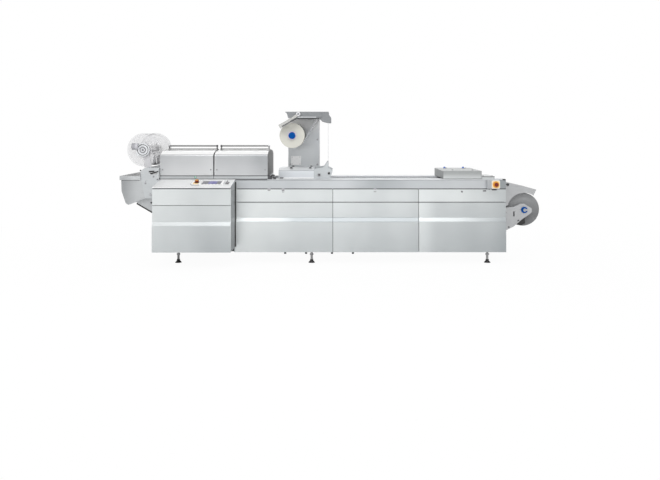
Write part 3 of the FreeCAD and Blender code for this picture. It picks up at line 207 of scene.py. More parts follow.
class Finish(Graph):
    """A material whose nodes are written as expressions."""

    def __init__(self, name):
        self.material = bpy.data.materials.new(FINISH + name)
        self.material.use_nodes = True
        super().__init__(self.material.node_tree)
        self.out = self.node("ShaderNodeOutputMaterial")
        self.surface = self.node("ShaderNodeBsdfPrincipled")
        self.feed(self.out.inputs["Surface"], self.surface.outputs[0])
        self.spot = self.node("ShaderNodeTexCoord").outputs["Object"]
        split = self.node("ShaderNodeSeparateXYZ", None, {0: self.spot})
        self.x, self.y, self.z = (Reading(self, split.outputs[axis]) for axis in "XYZ")

    def noise(self, scale, stretch=(1, 1, 1), detail=2.0, rough=0.5):
        place = self.node("ShaderNodeMapping", None, {"Vector": self.spot, "Scale": stretch})
        return self.value("ShaderNodeTexNoise", "Fac", None,
                          {"Vector": place.outputs[0], "Scale": scale, "Detail": detail, "Roughness": rough})

    def distance(self, centre, axes="xyz"):
        """How far a place is from a point, or from a line along the axis that is left out."""
        gaps = [getattr(self, axis) - getattr(centre, axis) for axis in axes]
        return sum(gap * gap for gap in gaps).root()

    def shade(self, amount, first, last):
        """From the first colour to the last as amount goes from 0 to 1."""
        return self.node("ShaderNodeMix", {"data_type": "RGBA"}, {0: amount, 6: first, 7: last}).outputs[2]

    def layered(self, colour, *layers):
        """The colour with others laid over it, each where its mask says."""
        for mask, shade in layers:
            colour = self.shade(mask, colour, shade)
        self.set(Base_Color=colour)

    def bump(self, height, strength, distance):
        made = self.node("ShaderNodeBump", None,
                         {"Height": height, "Strength": strength, "Distance": distance})
        self.feed(self.surface.inputs["Normal"], made.outputs[0])

    def set(self, **sockets):
        for name, wanted in sockets.items():
            self.feed(self.surface.inputs[name.replace("_", " ")], wanted)

    def grained(self, rough, spread=0.1):
        """A fine speck that makes the surface slightly uneven."""
        speck = self.noise(60, detail=3.0)
        self.set(Roughness=speck * spread + rough)
        self.bump(speck, 0.1, 0.0003)
        return speck

    def brushed(self, dark, light, tone=0.0, grain=BRUSHED, rough=0.34, metal=0.85, contrast=2.2):
        """Brushed sheet: fine scratches, and broad soft bands of painted reflection, such as a brushed grain
        shows.
        """
        # The broad bands are painted reflections laid into the colour; cloud is a random tone.
        reflection_band = self.noise(1.1, (1.6, 1.6, 0.25), 1.5)
        cloud = self.noise(2.3)
        scratch = self.noise(1.0, grain, 3.0, 0.6)
        mixed = reflection_band * 0.5 + cloud * 0.3 + scratch * 0.2
        # tone lightens or darkens the whole sheet; the callers use it for painted light and shade where they need
        # it.
        colour = self.shade((mixed - 0.5) * contrast + 0.45 + tone, dark, light)
        self.set(Base_Color=colour, Metallic=metal, Roughness=scratch * 0.16 + (rough - 0.08))
        self.bump(scratch, 0.12, 0.0004)
        return colour


def cover_sheet(covers):
    """Satin covers with painted light and shade: lighter at the left end of each bay, darker towards the floor and
    the right end, and painted shade over the waist band's highlight, more in some bays than in others.
    """
    finish = Finish("covers")
    x, z = finish.x, finish.z
    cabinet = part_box("cabinet_lower_cover")
    on_cabinet = x.under(cabinet[1].x - 0.001)
    on_bays = 1 - on_cabinet
    bay_length = 1.05
    seams = [low(f"front_lower_cover_{bay}").x for bay in (1, 2, 3)]
    along = x - seams[0]
    for seam, before in zip(seams[1:], seams):
        along = along - x.over(seam) * (seam - before)
    first_bay = x.under(seams[1]) * on_bays
    middle_bay = x.over(seams[1]) * x.under(seams[2])
    last_bay = x.over(seams[2])
    below_seam = z.fall(SEAM_LOW, SEAM_HIGH)
    below_waist = z.fall(WAIST_LOW - WAIST_SOFT, WAIST_LOW)
    waist = (1 - below_waist) * z.fall(WAIST_HIGH, WAIST_HIGH + WAIST_SOFT) * on_bays
    # Painted light falloff: each bay, and the cabinet, darker from left to right.
    light_falloff = along / bay_length * on_bays + (x - cabinet[0].x) * on_cabinet * 0.6
    # Painted shade over part of the last bay.
    darkened = last_bay * x.rise(1.08, 1.3) * (1 - x.rise(1.6, 1.95) * 0.6)
    # Painted light and shade that differs from bay to bay.
    bay_tone = (first_bay * (0.22 - x.rise(-0.9, -0.4) * 0.1) - middle_bay * (0.2 - x.rise(0.65, 1.0) * 0.2)
                + last_bay * 0.06 - darkened * below_seam * 0.35)
    # Painted shade that tones down the waist band's highlight.
    waist_tone = (0.3 + first_bay * x.rise(-0.75, -0.2) * 0.65
                  + middle_bay * (1.1 - x.rise(0.8, 0.95) * 0.55) - darkened * 0.35)
    # Painted shade towards the floor and the right end, and below the cabinet's seam and waist.
    tone = (0.5 + bay_tone - light_falloff * 0.38 - z.fall(0.1, 0.8) * 0.3 - x.rise(1.5, 2.15) * 0.2
            - (below_seam + below_waist) * on_cabinet * 0.12 - waist * waist_tone)
    finish.brushed(tuple(covers.dark), tuple(covers.light), tone, contrast=1.0)


def lid_sheet():
    """The lids: a painted highlight on the shoulders, painted shade on the top and on the walls towards the top
    and the ends, and grey grab rods.
    """
    finish = Finish("lid_sheet")
    x, z = finish.x, finish.z
    eaves = high("left_cutting_lid").z - 0.074
    shoulder = eaves - 0.032
    # Painted highlight on the sloped shoulders, which are also less metallic there.
    slope = z.rise(shoulder - 0.003, shoulder) * z.fall(eaves + 0.002, eaves + 0.006)
    # Painted shade on the top of each lid.
    top = z.rise(eaves + 0.004, eaves + 0.008)
    rods = z.rise(eaves + 0.024, eaves + 0.03)
    # Painted shade: darker towards the top and at the ends of each lid.
    painted_shade = (z.rise(1.05, 1.33) * 0.3 + x.fall(-2.1, -1.9) * 0.25 + x.rise(-1.5, -1.4) * 0.3
              + x.rise(-1.1, -0.85) * 0.3)
    colour = finish.brushed((0.66, 0.67, 0.68), (0.88, 0.885, 0.89), 0.4 - painted_shade, rough=0.32,
                            metal=0.85 - slope * 0.75, contrast=1.0)
    finish.layered(colour, (slope, grey(0.95)), (top, grey(0.62)), (rods, grey(0.52)))


def desk_steel():
    """The desk: the same sheet, paler where it faces up, with a shaded side."""
    finish = Finish("desk_steel")
    side = finish.x.over(high("operator_desk").x - 0.002)
    colour = finish.brushed((0.84, 0.845, 0.85), grey(0.95), 0.2, BRUSHED, 0.4, 0.35, 1.2)
    finish.layered(colour, (side, (0.66, 0.67, 0.68)))


def rail_steel():
    """Side rails: greyer on top, where the light falls on them, and painted shade beside the web and at the right
    end.
    """
    finish = Finish("rail_steel")
    lit = finish.z.rise(RAIL_TOP - 0.006, RAIL_TOP - 0.002)
    # Painted shade beside the web and at the right end.
    by_web = finish.x.rise(0.1, 0.5) * finish.x.fall(0.7, 1.1)
    tone = 0.12 - finish.x.rise(1.98, 2.1) * 0.9 - by_web * 0.45
    colour = finish.brushed((0.62, 0.64, 0.65), (0.84, 0.85, 0.86), tone, BLASTED, 0.4, 0.85 - lit * 0.6, 1.0)
    finish.layered(colour, (lit, (0.8, 0.81, 0.82)))


def column_steel():
    """The tower's column, evenly pale, with painted light that whitens it towards its head, where the head shades
    it.
    """
    finish = Finish("column_steel")
    # Painted light: lighter upwards, and white near the head.
    tone = finish.z.rise(1.1, 1.8) * 1.1 - 0.25
    colour = finish.brushed((0.75, 0.762, 0.77), (0.92, 0.93, 0.938), tone, rough=0.55, metal=0.08)
    finish.layered(colour, (finish.z.rise(1.55, 1.68), grey(1.0)))


def trough_steel():
    """Blasted trough and stays, with painted light on the inside and the rim, and painted shade towards the left
    end.
    """
    finish = Finish("trough_steel")
    x, y, z = finish.x, finish.y, finish.z
    # Painted light on the shaded inside of the trough, which is also less metallic there.
    painted_light_inside = z.over(0.98) * y.over(-0.2) * y.under(0.63) * x.over(-2.578) * x.under(-2.32)
    rim = z.over(1.0125) * y.under(-0.2)
    # Painted shade towards the left end, and painted light on the rim.
    tone = x.rise(-2.58, -2.35) * 0.5 - 0.15 + rim * 0.3
    metal = 0.7 - painted_light_inside * 0.65
    colour = finish.brushed((0.5, 0.51, 0.52), (0.78, 0.79, 0.795), tone, BLASTED, 0.42, metal, 1.4)
    finish.layered(colour, (painted_light_inside, grey(1.0)))


def bracket_steel():
    """Posts of the winder, the far one made pale with painted light, as it stands in shade."""
    finish = Finish("bracket_steel")
    # Painted light on the far post, which stands in shade.
    far = finish.y.over(0.3)
    colour = finish.brushed((0.74, 0.74, 0.75), (0.86, 0.86, 0.87), 0.0, BLASTED, 0.4, 0.5 - far * 0.5)
    finish.layered(colour, (far, grey(1.0)))


def gearmotor_paint():
    """Pale grey paint, darker on the motor."""
    finish = Finish("gearmotor_paint")
    speck = finish.grained(0.4)
    coat = finish.shade(finish.x.fall(-2.43, -2.425), (0.72, 0.72, 0.74), (0.58, 0.58, 0.6))
    finish.layered(coat, (speck * 0.2, (0.85, 0.85, 0.87)))


def station_metal():
    """Milled stations: the sealing station pale, slightly darker towards its left, with painted light on its slope
    under the head's shadow; the forming station darker towards its top, with painted shade on its left face.
    """
    finish = Finish("station_metal")
    forming = finish.x.over(1.0)
    pale = finish.shade(finish.x.rise(-0.67, -0.4), (0.79, 0.805, 0.82), (0.83, 0.845, 0.86))
    # Painted light on the sealing station's slope, which the tower's head shades.
    pale = finish.shade(finish.z.rise(1.118, 1.124), pale, (0.92, 0.93, 0.94))
    darkened = finish.shade(finish.z.rise(1.02, 1.1), (0.82, 0.83, 0.83), (0.64, 0.65, 0.65))
    # Painted shade on the forming station's left face.
    darkened = finish.shade(finish.x.fall(1.3705, 1.3715), darkened, (0.6, 0.61, 0.61))
    finish.grained(0.4, 0.12)
    finish.set(Base_Color=finish.shade(forming, pale, darkened), Metallic=forming * 0.2 + 0.2)


def stop_plate():
    """Plates of the emergency stops: orange round the cap, pale yellow at the edge."""
    finish = Finish("stop_yellow")
    desk, end = (finish.distance(middle(f"{place}_emergency_stop")) for place in ("desk", "end"))
    edge = desk.worked("MINIMUM", desk, end).rise(0.036, 0.047)
    finish.grained(0.4)
    finish.set(Base_Color=finish.shade(edge, (0.87, 0.6, 0.2), (0.96, 0.86, 0.66)))


def plain(name, shade, rough=0.4, metal=0.0, gloss=0.5):
    finish = Finish(name)
    speck = finish.grained(rough - 0.06, 0.12)
    finish.set(Base_Color=finish.shade(speck, scaled(shade, 0.94), scaled(shade, 1.05)), Metallic=metal,
               Specular_IOR_Level=gloss)


def satin(name, dark, light, rough, metal=0.7, grain=BLASTED):
    Finish(name).brushed(dark, light, 0.0, grain, rough, metal)


def clear_sheet(name, shade, opacity, rough=0.15):
    finish = Finish(name)
    speck = finish.noise(9, detail=3.0)
    finish.set(Base_Color=finish.shade(speck, shade, scaled(shade, 1.03)), Roughness=speck * 0.1 + rough,
               Alpha=speck * 0.06 + opacity)


def wound_film(name, node, dark, light, sheen=0.0):
    """The side of a film reel, with the edges of its turns, and a paler half where light catches them."""
    finish = Finish(name)
    centre = middle(node)
    turns = finish.value("ShaderNodeTexNoise", "Fac", {"noise_dimensions": "1D"},
                         {"W": finish.distance(centre, "xz"), "Scale": 1 / TURN_PITCH, "Detail": 3.0})
    cloud = finish.noise(9)
    lit = ((finish.z - centre.z) - (finish.x - centre.x) * 0.6).rise(-0.16, 0.16) * sheen
    finish.set(Base_Color=finish.shade(turns * 0.5 + cloud * 0.3 + lit - sheen * 0.3, dark, light),
               Roughness=turns * 0.2 + 0.3)
    finish.bump(turns, 0.25, 0.0006)


def foot_steel():
    """Ground spindles on dark moulded pads."""
    finish = Finish("foot_steel")
    speck = finish.noise(70)
    colour = finish.shade(finish.z.fall(0.034, 0.036), grey(0.62), grey(0.27))
    finish.set(Base_Color=colour, Metallic=0.5, Roughness=speck * 0.15 + 0.35)
    finish.bump(speck, 0.15, 0.0003)


def screen_glass():
    """A switched-on screen: a grey field, a violet picture area and small pale keys."""
    finish = Finish("screen_glass")
    side = abs(finish.x - (middle("touch_panel").x + 0.012))
    keys = finish.value("ShaderNodeTexBrick", "Fac", {"offset": 0.0},
                        {"Vector": finish.spot, "Scale": 22.0, "Mortar Size": 0.06})
    field = finish.shade(side.fall(0.046, 0.05), (0.36, 0.36, 0.38), (0.38, 0.37, 0.6))
    colour = finish.shade(keys * 0.15, field, (0.6, 0.6, 0.66))
    finish.set(Base_Color=colour, Emission_Color=colour, Roughness=0.4, Emission_Strength=0.15)


def finishes(covers):
    cover_sheet(covers)
    for own in (lid_sheet, foot_steel, rail_steel, column_steel, trough_steel, bracket_steel, gearmotor_paint,
                screen_glass, desk_steel, station_metal, stop_plate):
        own()
    # A darker grey for the cabinet's housing: painted shade on its sides.
    satin("housing_steel", (0.5, 0.51, 0.52), (0.62, 0.63, 0.64), 0.42, 0.6)
    satin("frame_steel", (0.68, 0.7, 0.71), (0.84, 0.85, 0.855), 0.4)
    satin("arm_steel", (0.67, 0.675, 0.68), (0.8, 0.805, 0.81), 0.42, 0.6)
    satin("head_steel", (0.44, 0.45, 0.46), (0.62, 0.63, 0.64), 0.45, 0.4, COARSE)
    satin("follower_steel", (0.6, 0.6, 0.59), (0.84, 0.84, 0.83), 0.4, 0.5, COARSE)
    clear_sheet("trim_film", (0.72, 0.72, 0.73), 0.03, 0.6)
    clear_sheet("clear_plastic", (0.78, 0.78, 0.79), 0.2)
    clear_sheet("base_film", (0.78, 0.8, 0.81), 0.6)
    clear_sheet("lid_film_sheet", (0.91, 0.92, 0.93), 0.5)
    wound_film("lid_film_reel", "top_film_reel", (0.76, 0.755, 0.72), (0.84, 0.835, 0.8))
    wound_film("base_film_reel", "bottom_film_reel", (0.36, 0.365, 0.37), (0.66, 0.665, 0.67), 0.5)
    plain("case_paint", (0.66, 0.67, 0.68), 0.4, 0.2)
    # The machine's frame is painted dark: painted shade, so that the gaps between the covers look shaded.
    plain("dark_frame", (0.3, 0.31, 0.32), 0.5, 0.3)
    plain("dark_plate", grey(0.47), 0.45, 0.5)
    plain("roller_steel", (0.68, 0.69, 0.7), 0.28, 0.85)
    plain("blue_plastic", (0.0, 0.3, 0.6), 0.6, gloss=0.08)
    plain("panel_face", grey(0.88))
    plain("switch_metal", (0.75, 0.75, 0.76), 0.25, 0.9)
    plain("dark_rubber", grey(0.17), 0.6)
    plain("dark_steel", (0.33, 0.33, 0.34), 0.4, 0.6)
    plain("screw_steel", (0.62, 0.62, 0.63), 0.3, 0.9)
    plain("chain_steel", (0.84, 0.84, 0.85), 0.5, 0.3)
    plain("red_cap", (0.45, 0.1, 0.03), 0.5)
    plain("spool_paint", grey(0.98), 0.5)
    plain("white_bezel", grey(0.95), 0.35)
    plain("blue_fitting", (0.3, 0.45, 0.75))
    plain("green_lens", (0.66, 0.84, 0.76), 0.25)
    plain("core_card", (0.84, 0.79, 0.84), 0.6)
    plain("plate_alloy", (0.86, 0.87, 0.88), 0.5, 0.1)


# machine_frame and cabinet_housing get dark finishes as painted shade.
OWN_FINISHES = {
    "machine_frame": "dark_frame", "front_levelling_feet": "foot_steel", "rear_levelling_feet": "foot_steel",
    "discharge_trough": "trough_steel", "trough_stays": "trough_steel", "bottom_reel_arms": "arm_steel",
    "splice_table": "arm_steel", "tower_head": "head_steel", "reel_follower_arm": "follower_steel",
    "winder_brackets": "bracket_steel", "winder_spool": "spool_paint", "tower_column": "column_steel",
    "front_side_rail": "rail_steel", "rear_side_rail": "rail_steel", "operator_desk": "desk_steel",
    "cabinet_housing": "housing_steel", "end_stop_case": "case_paint",
}


def paint(name):
    return bpy.data.materials[FINISH + name]


def dress():
    """Every carried-over sub-part gets the finish of its slot, or its own."""
    for part in frame["record"]["subparts"]:
        mesh = frame["nodes"][part["node"]].data
        mesh.materials.clear()
        mesh.materials.append(paint(OWN_FINISHES.get(part["node"], part["material_slot"])))


# Forms

def rounded(centre, half, radius, steps=6):
    """A rectangle with round corners, as points in order."""
    corners = ((1, 1), (-1, 1), (-1, -1), (1, -1))
    points = []
    for number, (right, up) in enumerate(corners):
        for step in range(steps + 1):
            angle = math.pi / 2 * (number + step / steps)
            points.append((centre[0] + right * (half[0] - radius) + radius * math.cos(angle),
                           centre[1] + up * (half[1] - radius) + radius * math.sin(angle)))
    return points


def around(centre, radius, count, start):
    """Places evenly round an axis along Y, the first at start degrees."""
    turns = [math.radians(start + 360 / count * number) for number in range(count)]
    return [centre + Vector((radius * math.cos(turn), 0, radius * math.sin(turn))) for turn in turns]


SPOTS = {"X": lambda a, b, c: Vector((c, a, b)), "Y": lambda a, b, c: Vector((a, c, b)),
         "Z": lambda a, b, c: Vector((a, b, c))}


def settle(name, mesh, finish, body):
    """A finished mesh becomes a piece with its finish, on its body."""
    piece = bpy.data.objects.new(name, mesh)
    bpy.context.scene.collection.objects.link(piece)
    mesh.materials.clear()
    mesh.materials.append(paint(finish))
    mesh.shade_smooth()
    mesh.set_sharp_from_angle(angle=math.radians(35))
    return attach(piece, body)


class Form:
    """A piece in the making: closed shells in metres, in the frame's own axes."""

    def __init__(self):
        self.mesh = bmesh.new()

    def skin(self, rings, around=False):
        """Faces between like rings of points; the first and last ring are closed, or joined."""
        loops = [[self.mesh.verts.new(spot) for spot in ring] for ring in rings]
        pairs = list(zip(loops, loops[1:])) + ([(loops[-1], loops[0])] if around else [])
        for near, far in pairs:
            for i, corner in enumerate(near):
                j = (i + 1) % len(near)
                self.mesh.faces.new((corner, near[j], far[j], far[i]))
        if not around:
            self.mesh.faces.new(loops[0][::-1])
            self.mesh.faces.new(loops[-1])
        return self

    def slab(self, outline, spot, start, end):
        """An outline drawn out along an axis, or off a face that spot describes."""
        spot = SPOTS.get(spot, spot)
        return self.skin([[spot(a, b, along) for a, b in outline] for along in (start, end)])

    def plate(self, outline, face, facing, depth):
        """An outline that stands off a front or rear face."""
        return self.slab(outline, "Y", face, face + facing[1] * depth)

    def rim(self, outer, inner, spot, start, end):
        """A flat ring between two like outlines."""
        spot = SPOTS.get(spot, spot)
        rounds = ((outer, start), (outer, end), (inner, end), (inner, start))
        return self.skin([[spot(a, b, along) for a, b in outline] for outline, along in rounds], True)

    def block(self, first, last):
        (x0, y0, z0), (x1, y1, z1) = first, last
        return self.slab([(x0, y0), (x1, y0), (x1, y1), (x0, y1)], "Z", z0, z1)

    def turned(self, outline, centre, axis=REAR, steps=28):
        """An outline of radius and place along the axis, turned round the axis."""
        along = Vector(axis)
        side = along.orthogonal().normalized()
        other = along.cross(side)
        rings = []
        for step in range(steps):
            angle = 2 * math.pi * step / steps
            out = side * math.cos(angle) + other * math.sin(angle)
            rings.append([Vector(centre) + out * radius + along * place for radius, place in outline])
        return self.skin(rings, True)

    def ring(self, centre, inner, outer, depth, axis=FRONT, steps=28):
        """A raised ring with a small bevel, standing off a face along the axis."""
        edge = min(depth, outer - inner) * 0.3
        return self.turned([(inner, 0), (outer, 0), (outer, depth - edge), (outer - edge, depth),
                            (inner + edge, depth), (inner, depth - edge)], centre, axis, steps)

    def knob(self, centre, radius, depth, axis=FRONT, steps=20):
        """A round boss with a bevelled end."""
        edge = min(depth, radius) * 0.3
        return self.turned([(0, 0), (radius, 0), (radius, depth - edge), (radius - edge, depth), (0, depth)],
                           centre, axis, steps)

    def tube(self, path, radius, steps=10):
        """A round bar that follows a few points."""
        path = [Vector(point) for point in path]
        rings = []
        for number, point in enumerate(path):
            along = (path[min(number + 1, len(path) - 1)] - path[max(number - 1, 0)]).normalized()
            side = along.cross(Vector((0.3, 0.9, 0.2))).normalized()
            other = along.cross(side)
            rings.append([point + (side * math.cos(a) + other * math.sin(a)) * radius
                          for a in (2 * math.pi * step / steps for step in range(steps))])
        return self.skin(rings)

    def finish(self, name, finish, bevel=0.0, body=MACHINE):
        bmesh.ops.remove_doubles(self.mesh, verts=self.mesh.verts, dist=1e-6)
        if bevel:
            edges = [edge for edge in self.mesh.edges
                     if len(edge.link_faces) == 2 and edge.calc_face_angle() > math.radians(40)]
            bmesh.ops.bevel(self.mesh, geom=edges, offset=bevel, segments=1, affect="EDGES",
                            clamp_overlap=True)
        bmesh.ops.recalc_face_normals(self.mesh, faces=self.mesh.faces)
        mesh = bpy.data.meshes.new(name)
        self.mesh.to_mesh(mesh)
        self.mesh.free()
        return settle(name, mesh, finish, body)


class Layout(Graph):
    """A Geometry Nodes tree with named inputs, which ends in a plain mesh of one finish."""

    def __init__(self, name, inputs):
        super().__init__(bpy.data.node_groups.new(name, "GeometryNodeTree"))
        self.socket("Geometry", "Geometry")
        for label, kind in inputs.items():
            self.socket(label, kind)
        self.socket("Finish", "Material")
        self.socket("Geometry", "Geometry", "OUTPUT")
        self.given = self.node("NodeGroupInput").outputs
        self.out = self.node("NodeGroupOutput")

    def socket(self, label, kind, side="INPUT"):
        self.tree.interface.new_socket(name=label, in_out=side, socket_type="NodeSocket" + kind)

    def close(self, geometry):
        real = self.node("GeometryNodeRealizeInstances", None, {"Geometry": geometry})
        painted = self.node("GeometryNodeSetMaterial", None,
                            {"Geometry": real.outputs[0], "Material": self.given["Finish"]})
        self.feed(self.out.inputs["Geometry"], painted.outputs[0])
        return self

    def grow(self, name, mesh, finish, body, wanted):
        """Runs the tree on a mesh and keeps the result as a plain piece."""
        carrier = bpy.data.objects.new(name + "_carrier", mesh)
        bpy.context.scene.collection.objects.link(carrier)
        modifier = carrier.modifiers.new("layout", "NODES")
        modifier.node_group = self.tree
        wanted = {**wanted, "Finish": paint(finish)}
        for item in self.tree.interface.items_tree:
            if item.in_out == "INPUT" and item.name in wanted:
                modifier[item.identifier] = wanted[item.name]
        seen = carrier.evaluated_get(bpy.context.evaluated_depsgraph_get())
        made = bpy.data.meshes.new_from_object(seen)
        bpy.data.objects.remove(carrier)
        settle(name, made, finish, body)


def row_layout():
    """Repeats a piece along a straight line."""
    layout = Layout("row of like pieces", {"Piece": "Object", "Count": "Int", "Step": "Vector"})
    line = layout.node("GeometryNodeMeshLine", {"mode": "OFFSET"},
                       {"Count": layout.given["Count"], "Offset": layout.given["Step"]})
    piece = layout.node("GeometryNodeObjectInfo", None, {"Object": layout.given["Piece"]})
    placed = layout.node("GeometryNodeInstanceOnPoints", None,
                         {"Points": line.outputs[0], "Instance": piece.outputs["Geometry"]})
    return layout.close(placed.outputs[0])


def row(name, form, finish, count, step):
    """A row of copies of a form, the first where the form stands."""
    piece = form.finish(name + "_one", finish)
    row_layout().grow(name, bpy.data.meshes.new(name), finish, MACHINE,
                      {"Piece": piece, "Count": count, "Step": step})
    bpy.data.objects.remove(piece)


def screw_layout():
    """Puts a hexagon head on a washer at every point, square to the face that it sits on."""
    inputs = ("Head height", "Washer height", "Washer reach")
    layout = Layout("hexagon screws", {label: "Float" for label in inputs})
    given = layout.given
    height, washer = Reading(layout, given["Head height"]), Reading(layout, given["Washer height"])
    head = layout.node("GeometryNodeMeshCylinder", None, {"Vertices": 6, "Radius": 1.0, "Depth": height})
    disc = layout.node("GeometryNodeMeshCylinder", None,
                       {"Vertices": 20, "Radius": given["Washer reach"], "Depth": washer})
    joined = layout.node("GeometryNodeJoinGeometry")
    for part, thick in ((head, height), (disc, washer)):
        lift = layout.node("ShaderNodeCombineXYZ", None, {"Z": thick * 0.5})
        moved = layout.node("GeometryNodeTransform", None,
                            {"Geometry": part.outputs["Mesh"], "Translation": lift.outputs[0]})
        layout.feed(joined.inputs[0], moved.outputs[0])
    facing = layout.node("GeometryNodeInputNamedAttribute", {"data_type": "FLOAT_VECTOR"}, {"Name": "facing"})
    size = layout.node("GeometryNodeInputNamedAttribute", {"data_type": "FLOAT"}, {"Name": "size"})
    turn = layout.node("FunctionNodeAlignRotationToVector", {"axis": "Z"}, {"Vector": facing.outputs[0]})
    placed = layout.node("GeometryNodeInstanceOnPoints", None,
                         {"Points": given["Geometry"], "Instance": joined.outputs[0],
                          "Rotation": turn.outputs[0], "Scale": size.outputs[0]})
    return layout.close(placed.outputs[0])


def screws(name, spots, finish="screw_steel", body=MACHINE):
    """Screws at places, each with the way that it faces and its radius."""
    sizes = bpy.context.scene.traysealer_screws
    mesh = bpy.data.meshes.new(name)
    mesh.from_pydata([spot for spot, facing, radius in spots], [], [])
    mesh.attributes.new("facing", "FLOAT_VECTOR", "POINT")
    mesh.attributes.new("size", "FLOAT", "POINT")
    for number, (spot, facing, radius) in enumerate(spots):
        mesh.attributes["facing"].data[number].vector = facing
        mesh.attributes["size"].data[number].value = radius
    screw_layout().grow(name, mesh, finish, body, {"Head height": sizes.head, "Washer height": sizes.washer,
                                                   "Washer reach": sizes.reach})


def screw_grid(xs, ys, zs, facing, radius):
    """Screws wherever a few places along each axis cross."""
    return [((x, y, z), facing, radius) for x in xs for y in ys for z in zs]


# Sizes and colours that a user may change

def length(name, description, default):
    return bpy.props.FloatProperty(name=name, description=description, default=default, unit="LENGTH")


class CoverColours(bpy.types.PropertyGroup):
    dark: bpy.props.FloatVectorProperty(name="Darkest", description="Darkest tone of the covers",
                                        subtype="COLOR", default=(0.66, 0.68, 0.69))
    light: bpy.props.FloatVectorProperty(name="Lightest", description="Lightest tone of the covers",
                                         subtype="COLOR", default=(0.88, 0.895, 0.895))


class ScrewSizes(bpy.types.PropertyGroup):
    head: bpy.props.FloatProperty(name="Head height", default=0.9,
                                  description="Head height for a head radius of one")
    washer: bpy.props.FloatProperty(name="Washer height", default=0.25,
                                    description="Washer height for a head radius of one")
    reach: bpy.props.FloatProperty(name="Washer reach", default=1.5,
                                   description="Washer radius for a head radius of one")


class SealSizes(bpy.types.PropertyGroup):
    # The width is that of the dark strips of painted shade beside the cabinet; the height serves them and the
    # sill's seals.
    width: length("Seal width", "Width of the dark seals", 0.008)
    proud: length("Seal height", "How far the seals stand proud", 0.003)


class ChainSizes(bpy.types.PropertyGroup):
    pitch: length("Chain pitch", "Distance from link to link", 0.0254)
    height: length("Link height", "Height of a link plate", 0.012)


class DeskSizes(bpy.types.PropertyGroup):
    bezel_width: length("Bezel width", "Width of the white bezels", 0.132)
    bezel_height: length("Bezel height", "Height of the white bezels", 0.19)


class WinderSizes(bpy.types.PropertyGroup):
    fin_pitch: length("Fin pitch", "Distance between the motor's fins", 0.009)
    trim: length("Wound trim", "Radius of the wound edge trim", 0.198)


class StageSizes(bpy.types.PropertyGroup):
    lens: bpy.props.FloatProperty(name="Lens", description="Focal length of the view, in millimetres",
                                  default=36.2)
    height: length("View height", "Height of the camera", 1.6)
    distance: length("View distance", "How far the camera stands in front", 8.34)


# Pieces

class TRAYSEALER_OT_finishes(bpy.types.Operator):
    """Finishes of the sub-parts"""
    bl_idname = "traysealer.finishes"
    bl_label = "Finishes"

    def execute(self, context):
        finishes(context.scene.traysealer_covers)
        dress()
        return {"FINISHED"}


